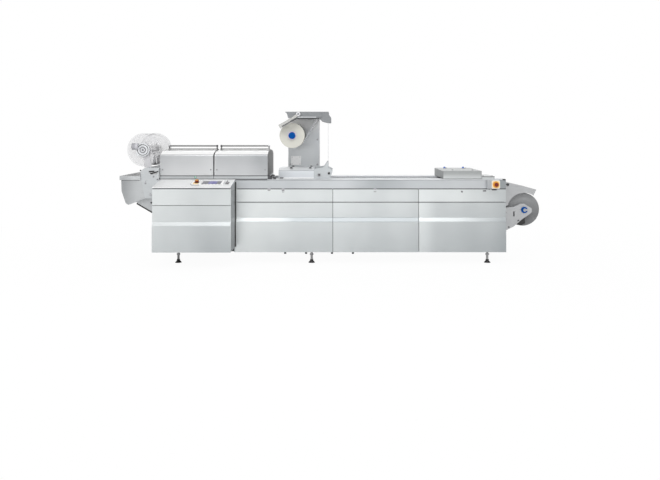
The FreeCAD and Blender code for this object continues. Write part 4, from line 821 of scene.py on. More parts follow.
class TRAYSEALER_OT_seals(bpy.types.Operator):
    """Seals, folds and joints of the covers, the sill and the lids' ridges, and dark strips of painted shade
    beside the cabinet
    """
    bl_idname = "traysealer.seals"
    bl_label = "Seals"

    def execute(self, context):
        sizes = context.scene.traysealer_seals
        self.cabinet_side(sizes.width, sizes.proud)
        self.cover_seams()
        self.cover_folds()
        self.sill(sizes.proud)
        self.ridges()
        return {"FINISHED"}

    def cabinet_side(self, width, proud):
        """Dark strips of painted shade: one along the bend of the covers beside the cabinet, where the gap lies in
        shade, and one on the cabinet's side by its corner.
        """
        side = high("cabinet_lower_cover").x
        upper, lower = low("front_upper_cover_1").y, low("front_lower_cover_1").y
        bottom, top = low("cabinet_lower_cover").z + 0.004, RAIL_TOP - 0.03
        back = upper + 0.006
        section = [(lower - proud, bottom), (lower - proud, WAIST_LOW), (upper - proud, WAIST_HIGH),
                   (upper - proud, top), (back, top), (back, bottom)]
        # A dark strip in the gap beside the cabinet: painted shade.
        Form().slab(section, "X", side, side + width).finish("cabinet_seal", "dark_rubber", 0.001)
        # A dark strip on the cabinet's side: painted shade.
        edge = Form().block((side, upper - 0.062, bottom),
                            (side + proud, lower - proud, high("operator_desk").z - 0.03))
        edge.finish("cabinet_edge_seal", "dark_rubber", 0.001)

    def bay_strip(self, form, cover, out, back, down, up):
        """A strip along the top of a front cover, from the cabinet's shade strip on."""
        face = low("front_upper_cover_1").y
        start, top = max(low(cover).x, high("cabinet_lower_cover").x + 0.02), high(cover).z
        form.block((start, face - out, top - down), (high(cover).x - SEAL_INSET, face + back, top + up))

    def cover_seams(self):
        """Dark seams over the cabinet's covers, the bays and the rear covers."""
        seams = Form()
        first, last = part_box("cabinet_lower_cover")
        face = low("cabinet_housing").y
        desk_joint = (0.941, 0.951)
        for start, end in ((last.z + 0.0005, last.z + 0.0055), desk_joint):
            seams.block((first.x + SEAL_INSET, face - 0.006, start), (last.x - SEAL_INSET, face, end))
        for bay in (1, 2, 3):
            self.bay_strip(seams, f"front_upper_cover_{bay}", 0.001, 0.002, 0.003, 0.008)
        first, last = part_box("rear_upper_covers")
        seams.block((first.x + SEAL_INSET, last.y - 0.002, last.z - 0.003),
                    (last.x - SEAL_INSET, last.y + 0.001, last.z + 0.008))
        seams.finish("cover_seam_seals", "dark_steel")

    def cover_folds(self):
        """Folded top edges of the cabinet's upper cover and of the bays' lower covers."""
        folds = Form()
        first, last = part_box("cabinet_upper_cover")
        folds.block((first.x + SEAL_INSET, first.y - 0.0006, last.z - 0.01),
                    (last.x - SEAL_INSET, first.y + 0.001, last.z))
        for bay in (1, 2, 3):
            self.bay_strip(folds, f"front_lower_cover_{bay}", 0.0006, 0.001, 0.005, 0)
        folds.finish("cover_top_folds", "head_steel")

    def sill(self, proud):
        """Seals under and over the sill, the seal along the rail and the sill's joint."""
        first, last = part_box("hood_sill")
        top = low("left_cutting_lid").z - 0.001
        centre = ((first.x + last.x) / 2, MIDDLE_Y)
        half_length, half_width = (last.x - first.x) / 2, MIDDLE_Y - first.y
        for number, z in enumerate((first.z - 0.003, top - 0.009)):
            outer = rounded(centre, (half_length + proud / 3, half_width + proud), 0.004, 2)
            inner = rounded(centre, (half_length - 0.004, half_width - 0.004), 0.004, 2)
            Form().rim(outer, inner, "Z", z, z + 0.008).finish(f"sill_seal_{number + 1}", "dark_steel")
        face, side = low("front_side_rail").y, high("cabinet_lower_cover").x
        edge = Form()
        for start, end, height in ((first.x, side, 0.0075), (side, last.x, 0.0035)):
            edge.block((start, face - 0.0005, RAIL_TOP - 0.002), (end, face + 0.004, RAIL_TOP + height))
        edge.finish("rail_edge_seal", "dark_steel")
        split = (high("left_cutting_lid").x + low("right_cutting_lid").x) / 2
        joint = Form().block((split - 0.008, first.y - 0.001, RAIL_TOP + 0.006),
                             (split + 0.002, first.y, top - 0.01))
        joint.finish("sill_joint", "head_steel")

    def ridges(self):
        """Dark strips under the grab rods, along the lids' ridges."""
        for name in ("left", "right"):
            first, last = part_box(name + "_cutting_lid")
            ridge = last.z - 0.051
            section = [(MIDDLE_Y - 0.016, ridge - 0.004), (MIDDLE_Y - 0.01, ridge + 0.008),
                       (MIDDLE_Y + 0.01, ridge + 0.008), (MIDDLE_Y + 0.016, ridge - 0.004)]
            strip = Form().slab(section, "X", first.x + 0.03, last.x - 0.03)
            strip.finish(name + "_ridge_strip", "dark_plate", 0.001, name + "_lid")


class TRAYSEALER_OT_cover_locks(bpy.types.Operator):
    """Latches, locks and recessed handles of the upper covers, with dark strips of painted shadow under the
    latches and painted shade in the handles' recesses
    """
    bl_idname = "traysealer.cover_locks"
    bl_label = "Cover locks"

    def execute(self, context):
        seam = high("front_upper_cover_1").z
        latches = ((-0.773, 0.016), (-0.602, 0.016), (0.52, 0.032))
        dark_lock, pale_lock = (1.581, 0.872), (-0.602, 0.874)
        handle = 1.856
        plates, latch_shadows, rims, slots = Form(), Form(), Form(), Form()
        for face, facing in paired(low("front_upper_cover_1").y):
            for x, drop in latches:
                plates.plate(rounded((x, seam - 0.002), (0.018, 0.009), 0.003, 3), face, facing, 0.004)
                # A dark strip below each latch: painted shadow under the latch plate.
                latch_shadows.plate(rounded((x, seam - drop), (0.017, 0.003), 0.0028, 3), face, facing, 0.003)
            for x, z in (dark_lock, pale_lock):
                rims.ring((x, face, z), 0.007, 0.013, 0.005, facing, 20)
            slots.knob((dark_lock[0], face, dark_lock[1]), 0.0072, 0.003, facing, 16)
            # The handle's recess is a dark plate: painted shade in the recess.
            slots.plate(rounded((handle, 0.881), (0.018, 0.005), 0.005, 4), face, facing, 0.0015)
            outer = rounded((handle, 0.882), (0.022, 0.009), 0.008, 4)
            inner = rounded((handle, 0.882), (0.018, 0.005), 0.005, 4)
            plates.rim(outer, inner, "Y", face, face + facing[1] * 0.004)
        plates.finish("cover_latches", "switch_metal", 0.0008)
        latch_shadows.finish("latch_catches", "dark_plate", 0.0006)
        rims.finish("cover_lock_rims", "switch_metal")
        slots.finish("cover_lock_slots", "dark_rubber")
        return {"FINISHED"}


class TRAYSEALER_OT_screws(bpy.types.Operator):
    """Screws of the lids, stations, cheeks and end covers"""
    bl_idname = "traysealer.screws"
    bl_label = "Screws"

    def execute(self, context):
        for name, end, facing in ENDS:
            screws(name + "_lid_screws", self.lid(name, end, facing), body=name + "_lid")
        bolts = screw_grid((-0.52, -0.28), (0.06, 0.435), (high("sealing_station").z,), UP, 0.012)
        screws("station_bolts", bolts, "dark_rubber")
        screws("machine_screws", self.stations() + self.cheeks() + self.covers_and_column())
        return {"FINISHED"}

    def lid(self, name, end, facing):
        """Two rows at the rear of a lid, the lower one at the front as well, and those of its end plate."""
        first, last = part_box(name + "_cutting_lid")
        lower, upper = 1.137, 1.28
        spots = [((x, y, z), way, 0.006) for x in (first.x + SCREW_INSET, last.x - SCREW_INSET)
                 for z in (lower, upper) for y, way in paired(first.y) if z == lower or way == REAR]
        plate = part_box(name + "_lid_end_plate")[end].x
        across_plate = (MIDDLE_Y - 0.34, MIDDLE_Y, MIDDLE_Y + 0.34)
        return spots + screw_grid((plate,), across_plate, (1.1, 1.29), facing, 0.005)

    def stations(self):
        """Screws on top of the forming station and the heating cover."""
        cover = low("heating_cover").y + SCREW_INSET
        return (screw_grid((1.508, 1.76), (0.0, 0.455), (high("forming_station").z,), UP, 0.009)
                + screw_grid((1.87, 1.98), (cover,), (high("heating_cover").z,), UP, 0.007))

    def cheeks(self):
        """Screws of the discharge cheeks, front and rear."""
        places = ((-2.28, 0.974), (-2.182, 1.055), (-2.135, 1.02), (-2.14, 0.9), (-2.2, 0.83))
        sides = paired(low("discharge_frame").y)
        return [((x, y, z), facing, 0.007) for y, facing in sides for x, z in places]

    def covers_and_column(self):
        """Screws of the end covers, the bottom reel's arms and the tower's column."""
        spots = []
        for name, end, facing in ENDS:
            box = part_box(name + "_end_cover")
            spots += screw_grid((box[end].x,), (box[0].y + 0.04, MIDDLE_Y, box[1].y - 0.04),
                                (box[0].z + 0.05, box[1].z - 0.05), facing, 0.007)
        for y, facing in paired(low("bottom_reel_arms").y):
            spots += screw_grid((2.15,), (y,), (0.44, 0.52, 0.6), facing, 0.008)
        first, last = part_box("tower_column")
        sides = (first.x + SCREW_INSET, last.x - SCREW_INSET)
        spots += screw_grid(sides, (first.y,), (1.17, 1.5), FRONT, 0.008)
        return spots + screw_grid(sides, (last.y,), (1.06, 1.4, 1.78), REAR, 0.008)


def on_desk(a, b, c):
    """A place on the desk: a along the machine, b up the slope from the controls, c off the face."""
    up, off = DESK_RISE + b, DESK_SHEET + c
    return Vector((a, DESK_FOOT_Y + up * math.cos(DESK_SLOPE) - off * math.sin(DESK_SLOPE),
                   DESK_FOOT_Z + up * math.sin(DESK_SLOPE) + off * math.cos(DESK_SLOPE)))


class TRAYSEALER_OT_desk(bpy.types.Operator):
    """Screen, bezels, key and emergency stop cap of the desk, and the stop at the right end"""
    bl_idname = "traysealer.desk"
    bl_label = "Desk"

    def execute(self, context):
        sizes = context.scene.traysealer_desk
        stop = middle("desk_emergency_stop").x
        self.panel(stop, sizes.bezel_width / 2, sizes.bezel_height / 2)
        self.controls(stop)
        self.end_stop()
        self.right_end()
        return {"FINISHED"}

    def panel(self, stop, half_width, half_height):
        """The ring round the stop, the bars beside the touch panel, its screen and its keys."""
        panel, panel_width, panel_height = middle("touch_panel").x, 0.129, 0.086
        ring = rounded((stop, 0), (half_width, half_height), 0.05)
        inner = rounded((stop, 0), (half_width - 0.018, half_height - 0.03), 0.035)
        bezels = Form().rim(ring, inner, on_desk, 0, 0.005)
        for side in (-1, 1):
            bar = rounded((panel + side * (panel_width + 0.004), 0), (0.014, half_height - 0.004), 0.0138)
            bezels.slab(bar, on_desk, 0, 0.016)
        bezels.finish("desk_bezels", "white_bezel", 0.001)
        outer = rounded((stop, 0), (half_width + 0.004, half_height + 0.004), 0.054)
        Form().rim(outer, ring, on_desk, 0, 0.003).finish("bezel_edge", "dark_steel")
        frame_width = 0.0175
        screen = rounded((panel, 0), (panel_width - frame_width, panel_height - frame_width), 0.004)
        Form().slab(screen, on_desk, 0.0055, 0.0075).finish("touch_screen", "screen_glass")
        keys = Form()
        for number in range(6):
            key = rounded((panel - 0.1 + 0.04 * number, -0.0772), (0.012, 0.0045), 0.002, 3)
            keys.slab(key, on_desk, 0.009, 0.0105)
        keys.finish("panel_keys", "dark_plate", 0.0005)

    def controls(self, stop):
        """The stop's cap on its collar, and the key on its plate."""
        foot, normal = on_desk(stop, 0, 0), on_desk(0, 0, 1) - on_desk(0, 0, 0)
        cap = [(0, 0.019), (0.0225, 0.019), (0.0235, 0.022), (0.0235, 0.034), (0.021, 0.037), (0, 0.0376)]
        Form().turned(cap, foot, normal).finish("desk_stop_cap", "red_cap")
        collar = [(0.0135, 0.008), (0.03, 0.008), (0.028, 0.0115), (0.0135, 0.0125)]
        Form().turned(collar, foot, normal).finish("desk_stop_collar", "dark_rubber")
        key = middle("key_switch").x
        plate = Form().slab(rounded((key, 0), (0.022, 0.05), 0.01), on_desk, 0, 0.003)
        plate.finish("key_plate", "dark_plate", 0.0008)
        bow = Form().slab(rounded((key + 0.004, 0.004), (0.003, 0.014), 0.002, 3), on_desk, 0.02, 0.032)
        bow.finish("key_bow", "dark_steel", 0.0006)

    def end_stop(self):
        """Cap and pale border of the stop at the right end."""
        end, face = middle("end_emergency_stop"), low("end_emergency_stop").y
        cap = [(0, -0.002), (0.0195, -0.0015), (0.0235, 0.002), (0.0235, 0.0155), (0, 0.0155)]
        Form().turned(cap, (end.x, face, end.z)).finish("end_stop_cap", "red_cap")
        case = low("end_stop_case").y
        border = Form().rim(rounded((end.x, end.z), (0.05, 0.05), 0.014),
                            rounded((end.x, end.z), (0.0445, 0.0445), 0.0125), "Y", case - 0.0035, case)
        border.finish("end_stop_border", "white_bezel", 0.0008)

    def right_end(self):
        """The block on the rail's end, a dark plate of painted shadow under the stop's case, and the case's cable
        gland.
        """
        end = high("front_side_rail").x
        block = Form().block((end - 0.036, -0.236, RAIL_TOP - 0.016), (end - 0.001, -0.2, RAIL_TOP + 0.006))
        block.finish("rail_end_block", "dark_steel", 0.002)
        # A dark plate that stands for the shadow under the stop's case: painted shadow.
        shadow_plate = Form().block((1.946, -0.2445, 0.888), (2.004, -0.24, 0.906))
        shadow_plate.finish("stop_case_clamp", "dark_steel", 0.0008)
        first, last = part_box("end_stop_case")
        gland = Form().knob((first.x + 0.03, (first.y + last.y) / 2, first.z), 0.01, 0.012, DOWN)
        gland.finish("end_stop_gland", "dark_rubber")


class TRAYSEALER_OT_lid_fittings(bpy.types.Operator):
    """Collars of the grab rods, a lamp and the transfer fitting"""
    bl_idname = "traysealer.lid_fittings"
    bl_label = "Lid fittings"

    def execute(self, context):
        self.rod_collars("left", high("left_cutting_lid").x, low("left_cutting_lid").x)
        self.rod_collars("right", low("right_cutting_lid").x, high("right_cutting_lid").x)
        lamp = (-1.68, low("hood_sill").y, 1.046)
        Form().knob(lamp, 0.012, 0.006).finish("sill_lamp", "green_lens")
        Form().ring(lamp, 0.012, 0.016, 0.004).finish("sill_lamp_ring", "switch_metal")
        self.transfer_fitting(high("hood_sill").x)
        return {"FINISHED"}

    def rod_collars(self, name, split, outer):
        """Collars on a grab rod and under it: a bright pair at its outer end and a dark one by the split."""
        rod = high(name + "_cutting_lid").z - 0.009
        inward = math.copysign(0.02, split - outer)
        for kind, finish, x in (("collars", "switch_metal", outer + inward),
                                ("clamps", "dark_steel", split - inward)):
            fitting = Form().ring((x - 0.011, MIDDLE_Y, rod), 0.009, 0.0125, 0.022, RIGHT, 20)
            fitting.ring((x, MIDDLE_Y, rod - 0.042), 0.006, 0.016, 0.006, UP, 20)
            fitting.finish(f"{name}_rod_{kind}", finish, body=name + "_lid")

    def transfer_fitting(self, x):
        """The dark block with its two pipes at the right end of the sill."""
        y, z = -0.17, RAIL_TOP
        block = [(x, z), (x + 0.05, z), (x + 0.05, z + 0.02), (x + 0.024, z + 0.05), (x, z + 0.05)]
        fitting = Form().slab(block, "Y", y - 0.02, y + 0.02)
        fitting.tube([(x + 0.03, y, z + 0.03), (x + 0.06, y, z + 0.05), (x + 0.085, y, z + 0.045)], 0.011)
        fitting.tube([(x + 0.03, y + 0.01, z + 0.016), (x + 0.075, y + 0.01, z + 0.014)], 0.007)
        fitting.knob((x + 0.085, y, z), 0.016, 0.03, UP)
        fitting.finish("transfer_fitting", "dark_steel", 0.001)


class TRAYSEALER_OT_film_chain(bpy.types.Operator):
    """Gripper chains along both edges of the bottom film"""
    bl_idname = "traysealer.film_chain"
    bl_label = "Film chains"

    def execute(self, context):
        sizes = context.scene.traysealer_chain
        first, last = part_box("formed_web")
        start, end = first.x + 0.03, last.x - 0.03
        top = last.z
        half = sizes.height / 2
        count = int((end - start) / sizes.pitch)
        for side, y, inward in (("front", first.y, 1), ("rear", last.y, -1)):
            plate = rounded((start, top + 0.003 + half), (sizes.pitch * 0.46, half), half * 0.95, 4)
            grip = [(start - 0.006, top + 0.001), (start + 0.006, top + 0.001), (start + 0.005, top + 0.006),
                    (start - 0.005, top + 0.006)]
            link = Form().slab(plate, "Y", y + inward * 0.001, y + inward * 0.004)
            link.slab(grip, "Y", y + inward * 0.004, y + inward * 0.014)
            row(side + "_film_chain", link, "chain_steel", count, (sizes.pitch, 0, 0))
        return {"FINISHED"}


class TRAYSEALER_OT_reels(bpy.types.Operator):
    """Cores of the two film reels, and the cap of the top one"""
    bl_idname = "traysealer.reels"
    bl_label = "Film reels"

    def execute(self, context):
        self.core("top_film_reel", 0.043, 0.056).finish("top_reel_core", "core_card", body="lidding_reel")
        reel = middle("top_film_reel")
        cap = Form().ring((reel.x, low("top_reel_chuck").y, reel.z), 0.018, 0.034, 0.003, FRONT, 32)
        cap.finish("top_reel_cap", "blue_plastic", body="lidding_reel")
        self.core("bottom_film_reel", 0.04, 0.052).finish("bottom_reel_core", "dark_steel", body="base_reel")
        return {"FINISHED"}

    def core(self, node, inner, outer):
        """The ends of a reel's core, front and rear."""
        reel = middle(node)
        ends = Form()
        for y, facing in paired(low(node).y):
            ends.ring((reel.x, y, reel.z), inner, outer, 0.002, facing, 40)
        return ends


class TRAYSEALER_OT_winder(bpy.types.Operator):
    """Rings of the gearbox, fins of the motor, hub fittings and wound trim"""
    bl_idname = "traysealer.winder"
    bl_label = "Trim winder"

    def execute(self, context):
        sizes = context.scene.traysealer_winder
        axis = middle("winder_discs")

        def at(y):
            """A place on the winder's axis."""
            return Vector((axis.x, y, axis.z))

        gearbox_face, motor_y = -0.139, -0.149
        self.gearbox(at, gearbox_face)
        self.motor(sizes.fin_pitch, low("winder_gearmotor").x, motor_y, axis.z + 0.043)
        self.foot(axis, gearbox_face)
        self.hub(at, 0.452, -0.072)
        self.wound_trim(at(0), sizes.trim)
        self.tensioner(axis, low("winder_brackets").z)
        bearing = Form().ring(at(high("winder_brackets").y), 0.021, 0.045, 0.012, REAR, 32)
        bearing.finish("winder_bearing", "gearmotor_paint")
        return {"FINISHED"}

    def gearbox(self, at, face):
        """Raised rings on the gearbox's face, dark grooves between them and six screws."""
        rings, grooves = Form(), Form()
        for inner, outer, depth in ((0.071, 0.082, 0.004), (0.046, 0.06, 0.004), (0.018, 0.027, 0.007)):
            rings.ring(at(face), inner, outer, depth, FRONT, 48)
        rings.finish("gearbox_rings", "plate_alloy")
        for inner, outer in ((0.06, 0.071), (0.027, 0.036)):
            grooves.ring(at(face), inner, outer, 0.0012, FRONT, 48)
        grooves.knob(at(face - 0.001), 0.009, 0.005)
        grooves.finish("gearbox_grooves", "dark_plate")
        spots = [(place, FRONT, 0.0045) for place in around(at(face - 0.001), 0.0655, 6, 30)]
        screws("gearbox_screws", spots)

    def motor(self, pitch, end, y, z):
        """Fins round the motor, and the dark cap on its end."""
        radius = 0.04
        fin = Form().ring((end + 0.012, y, z), radius - 0.002, radius, 0.003, RIGHT, 32)
        row("motor_fins", fin, "gearmotor_paint", 6, (pitch, 0, 0))
        cap = Form().turned([(0, 0), (radius * 0.92, 0), (radius * 0.92, 0.003), (0, 0.003)],
                            (end - 0.0028, y, z), RIGHT, 32)
        cap.finish("motor_end_cap", "dark_plate")

    def foot(self, axis, face):
        """The lug below the gearbox, to the left."""
        foot = Form().slab(rounded((axis.x - 0.06, axis.z - 0.055), (0.022, 0.016), 0.012), "Y", face + 0.004,
                           face + 0.02)
        foot.finish("gearbox_foot", "plate_alloy", 0.001)

    def hub(self, at, rear, front):
        """White rings inside the discs, and the dark boss and knobs of the rear one."""
        rings = Form().ring(at(rear), 0.0845, 0.094, 0.006, FRONT, 48)
        rings.ring(at(front), 0.0845, 0.094, 0.006, REAR, 48)
        rings.finish("winder_hub_rings", "spool_paint", body="trim_winder")
        boss = rear - 0.0055
        dark = Form().ring(at(boss), 0.021, 0.052, 0.012, FRONT, 32)
        for place in around(at(boss), 0.066, 6, 15):
            dark.knob(place, 0.009, 0.014)
        dark.finish("winder_hub_fittings", "dark_plate", body="trim_winder")

    def wound_trim(self, centre, radius):
        """Clear edge trim, wound unevenly between the discs, as a shell."""
        turns, first, width = 26, -0.068, 0.516
        front, rear, shell = -0.074, 0.454, radius - 0.012
        outline = [(radius - 0.004, front)]
        for number in range(turns + 1):
            bulge = 0.003 * math.sin(number * 2.4) + 0.002 * math.sin(number * 5.1)
            outline.append((radius + bulge, first + width * number / turns))
        outline += [(radius - 0.004, rear), (shell, rear), (shell, front)]
        Form().turned(outline, centre, REAR, 48).finish("wound_trim", "trim_film", body="trim_winder")

    def tensioner(self, axis, bridge):
        """The sprung rod behind the discs, on its foot."""
        x, y = axis.x - 0.034, 0.52
        rod = Form().knob((x, y, bridge), 0.02, 0.085, UP)
        rod.ring((x, y, bridge + 0.03), 0.02, 0.026, 0.01, UP)
        rod.tube([(x, y, bridge + 0.08), (x, y, axis.z + 0.06)], 0.007)
        for number in range(4):
            rod.ring((x, y, bridge + 0.09 + 0.045 * number), 0.007, 0.019, 0.014, UP, 16)
        rod.slab([(axis.x - 0.06, bridge), (axis.x, bridge), (axis.x - 0.01, bridge + 0.022),
                  (axis.x - 0.05, bridge + 0.022)], "Y", y - 0.025, y + 0.025)
        rod.finish("trim_tensioner", "dark_steel")


class TRAYSEALER_OT_tower(bpy.types.Operator):
    """Blank plate, roller caps, shade strips and arm details of the film tower"""
    bl_idname = "traysealer.tower"
    bl_label = "Film tower"

    def execute(self, context):
        self.plate(low("tower_column").y)
        self.head(low("tower_column").x, low("tower_head").y)
        self.arm_shadow(low("reel_follower_arm").y)
        return {"FINISHED"}

    def plate(self, face):
        """A blank plate on the column, whiter than its metal as painted light in the head's shade, with a screw in
        each corner.
        """
        x, z = -0.485, 1.2225
        # The plate is painted white: painted light against the shade under the head.
        Form().slab(rounded((x, z), (0.066, 0.0595), 0.006), "Y", face - 0.003, face).finish(
            "tower_plate", "white_bezel", 0.0008)
        spots = screw_grid((x - 0.052, x + 0.052), (face - 0.003,), (z - 0.046, z + 0.046), FRONT, 0.0035)
        screws("tower_plate_screws", spots)

    def head(self, column, face):
        """Caps of the arm's pin and a roller, and two strips at the head's lower edge: a pale fold, and a dark
        strip of painted shadow below it.
        """
        Form().knob(PIVOTS["follower_arm_pivot"], 0.027, 0.012).finish("tower_cap", "switch_metal")
        Form().knob((-0.15, face, 1.8), 0.02, 0.004).finish("roller_bearing_cap", "head_steel")
        fold = Form().block((column + 0.16, face - 0.001, 1.779), (-0.2, face + 0.003, 1.787))
        fold.finish("head_fold", "plate_alloy", 0.0008)
        # A dark strip below the fold: painted shadow under the head.
        shadow_strip = Form().block((column + 0.19, face - 0.0015, 1.762), (-0.16, face + 0.003, 1.772))
        shadow_strip.finish("head_lip", "dark_rubber", 0.0008)

    def arm_shadow(self, face):
        """A dark strip of painted shadow along the underside of the follower arm, thicker near its pin."""
        slope = math.radians(30)
        pivot = Vector(PIVOTS["follower_arm_pivot"])
        along = Vector((-math.cos(slope), 0, -math.sin(slope)))
        down = Vector((math.sin(slope), 0, -math.cos(slope)))
        start = Vector((pivot.x, face, pivot.z)) + along * 0.06 + down * 0.034
        step = start + along * 0.07
        # Painted shadow under the arm, as a dark tube.
        edge = Form().tube([start, step], 0.01, 8)
        edge.tube([step, start + along * 0.19], 0.006, 8)
        edge.finish("arm_lower_edge", "dark_steel", body="follower_arm")


class TRAYSEALER_OT_station_fittings(bpy.types.Operator):
    """Base strips, bosses, couplings and slots of the stations"""
    bl_idname = "traysealer.station_fittings"
    bl_label = "Station fittings"

    def execute(self, context):
        self.bases()
        self.inlet((-0.166, 1.065), (-0.044, 1.084))
        self.couplings(high("forming_station").z)
        centre = (1.6085, 0.2275)
        outer, inner = rounded(centre, (0.2395, 0.3685), 0.013), rounded(centre, (0.2375, 0.3665), 0.012)
        Form().rim(outer, inner, "Z", RAIL_TOP, RAIL_TOP + 0.004).finish("forming_joint", "dark_steel")
        return {"FINISHED"}

    def bases(self):
        """The strip and slot at the sealing station's foot, and a dark strip of painted shadow under the heating
        cover's top lip.
        """
        first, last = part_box("sealing_station")
        base = Form().block((first.x + 0.01, first.y - 0.012, RAIL_TOP), (last.x, first.y, RAIL_TOP + 0.012))
        base.finish("station_base_strip", "white_bezel", 0.001)
        slot = rounded((-0.634, RAIL_TOP + 0.0075), (0.024, 0.006), 0.0055, 4)
        front, back = first.y - 0.014, first.y + 0.002
        first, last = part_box("heating_cover")
        # A dark strip along the heating cover's upper front edge: painted shadow of its top lip.
        joint = Form().block((first.x, first.y - 0.0015, last.z - 0.01),
                             (last.x - 0.002, first.y, last.z - 0.003))
        joint.finish("heating_joint", "dark_plate")
        Form().slab(slot, "Y", front, back).finish("station_slot", "dark_plate")

    def inlet(self, boss, eye):
        """A boss with its eye, and a second eye, on each cheek of the film inlet."""
        for side, (y, facing) in zip(("front", "rear"), paired(low("film_inlet_cheeks").y)):
            ring = Form().ring((boss[0], y, boss[1]), 0.009, 0.019, 0.007, facing, 32)
            ring.finish(side + "_inlet_boss", "screw_steel")
            eyes = Form().knob((boss[0], y, boss[1]), 0.012, 0.003, facing)
            eyes.knob((eye[0], y, eye[1]), 0.0145, 0.005, facing)
            eyes.finish(side + "_inlet_eyes", "dark_rubber")

    def couplings(self, top):
        """Two water couplings on the forming station, each on a bright collar."""
        couplings, collars = Form(), Form()
        for x in (1.478, 1.723):
            couplings.knob((x, 0.43, top), 0.017, 0.012, UP)
            couplings.ring((x, 0.43, top + 0.012), 0.006, 0.012, 0.01, UP)
            collars.ring((x, 0.43, top), 0.0171, 0.024, 0.004, UP)
        couplings.finish("cooling_couplings", "blue_fitting")
        collars.finish("coupling_collars", "switch_metal")


class TRAYSEALER_OT_discharge_fittings(bpy.types.Operator):
    """Knobs, guide bars and marks of the discharge cheeks and trough"""
    bl_idname = "traysealer.discharge_fittings"
    bl_label = "Discharge fittings"

    def execute(self, context):
        self.cheeks()
        self.stays()
        rim, side = Form(), -0.2405
        for y in (side, across(side)):
            rim.tube([(low("discharge_trough").x + 0.02, y, 1.0125), (-2.35, y, 1.0125)], 0.004, 8)
        rim.finish("trough_rim_shadow", "dark_steel")
        return {"FINISHED"}

    def cheeks(self):
        """Guide bars with their knobs, and bright marks, on the discharge cheeks."""
        bars, marks = Form(), Form()
        for y, facing in paired(low("discharge_frame").y):
            off = y + facing[1] * 0.007
            bars.tube([(-2.236, off, 1.117), (-2.176, off, 1.12)], 0.008)
            bars.tube([(-2.216, off, 1.09), (-2.125, off, 1.118)], 0.008)
            bars.knob((-2.2215, y, 1.112), 0.007, 0.01, facing)
            marks.plate(rounded((-2.225, 0.838), (0.004, 0.018), 0.003, 3), y, facing, 0.003)
            marks.knob((-2.28, y, 1.0), 0.006, 0.004, facing)
            bars.knob((-2.341, y, 1.132), 0.008, 0.01, facing)
        bars.finish("guide_bars", "dark_rubber")
        marks.finish("cheek_marks", "switch_metal")

    def stays(self):
        """Dark lower edges and a hole in the stays under the trough."""
        edges, holes = Form(), Form()
        thick = 0.003
        front, rear = low("trough_stays").y, high("trough_stays").y
        for y in (front + thick / 2, rear - thick / 2):
            edges.tube([(-2.405, y, 0.721), (-2.13, y, 0.56)], 0.0085, 8)
        edges.finish("stay_edges", "dark_rubber")
        for y, facing in paired(front):
            holes.knob((-2.225, y, 0.73), 0.012, 0.002, facing)
        holes.finish("stay_holes", "dark_rubber")


class TRAYSEALER_OT_feet_fittings(bpy.types.Operator):
    """Lock nuts and collars of the levelling feet"""
    bl_idname = "traysealer.feet_fittings"
    bl_label = "Feet fittings"

    def execute(self, context):
        nut = [(0.0145, 0), (0.023, 0), (0.024, 0.003), (0.024, 0.011), (0.023, 0.014), (0.0145, 0.014)]
        nuts, collars = Form(), Form()
        for x, y in FEET:
            nuts.turned(nut, (x, y, 0.094), UP, 6)
            collars.ring((x, y, 0.032), 0.0145, 0.02, 0.008, UP, 24)
        nuts.finish("foot_lock_nuts", "screw_steel")
        collars.finish("foot_collars", "dark_rubber")
        return {"FINISHED"}


class TRAYSEALER_OT_reel_arm_fittings(bpy.types.Operator):
    """Rings, holes and shoes of the bottom reel's arms, and the table's roller"""
    bl_idname = "traysealer.reel_arm_fittings"
    bl_label = "Reel arm fittings"

    def execute(self, context):
        rings, holes = Form(), Form()
        for y, facing in paired(low("bottom_reel_arms").y):
            rings.ring((2.31, y, 0.5), 0.008, 0.014, 0.004, facing, 24)
            holes.knob((2.31, y, 0.5), 0.008, 0.001, facing)
            holes.knob((2.19, y, 0.42), 0.009, 0.002, facing)
        rings.finish("arm_rings", "switch_metal")
        holes.finish("arm_holes", "dark_rubber")
        shoes = Form()
        outline = [(2.279, 0.533), (2.283, 0.448), (2.342, 0.439), (2.398, 0.464), (2.392, 0.539)]
        for start, end in ((-0.085, -0.04), (0.42, 0.465)):
            shoes.slab(outline, "Y", start, end)
        shoes.finish("reel_shoes", "dark_rubber", 0.002)
        x, z, front, rear = 2.176, 0.948, -0.1, 0.48
        roller = Form().knob((x, front, z), 0.016, 0.02).tube([(x, front, z), (x, rear, z)], 0.012, 14)
        roller.finish("table_roller", "dark_steel")
        return {"FINISHED"}


# Stage

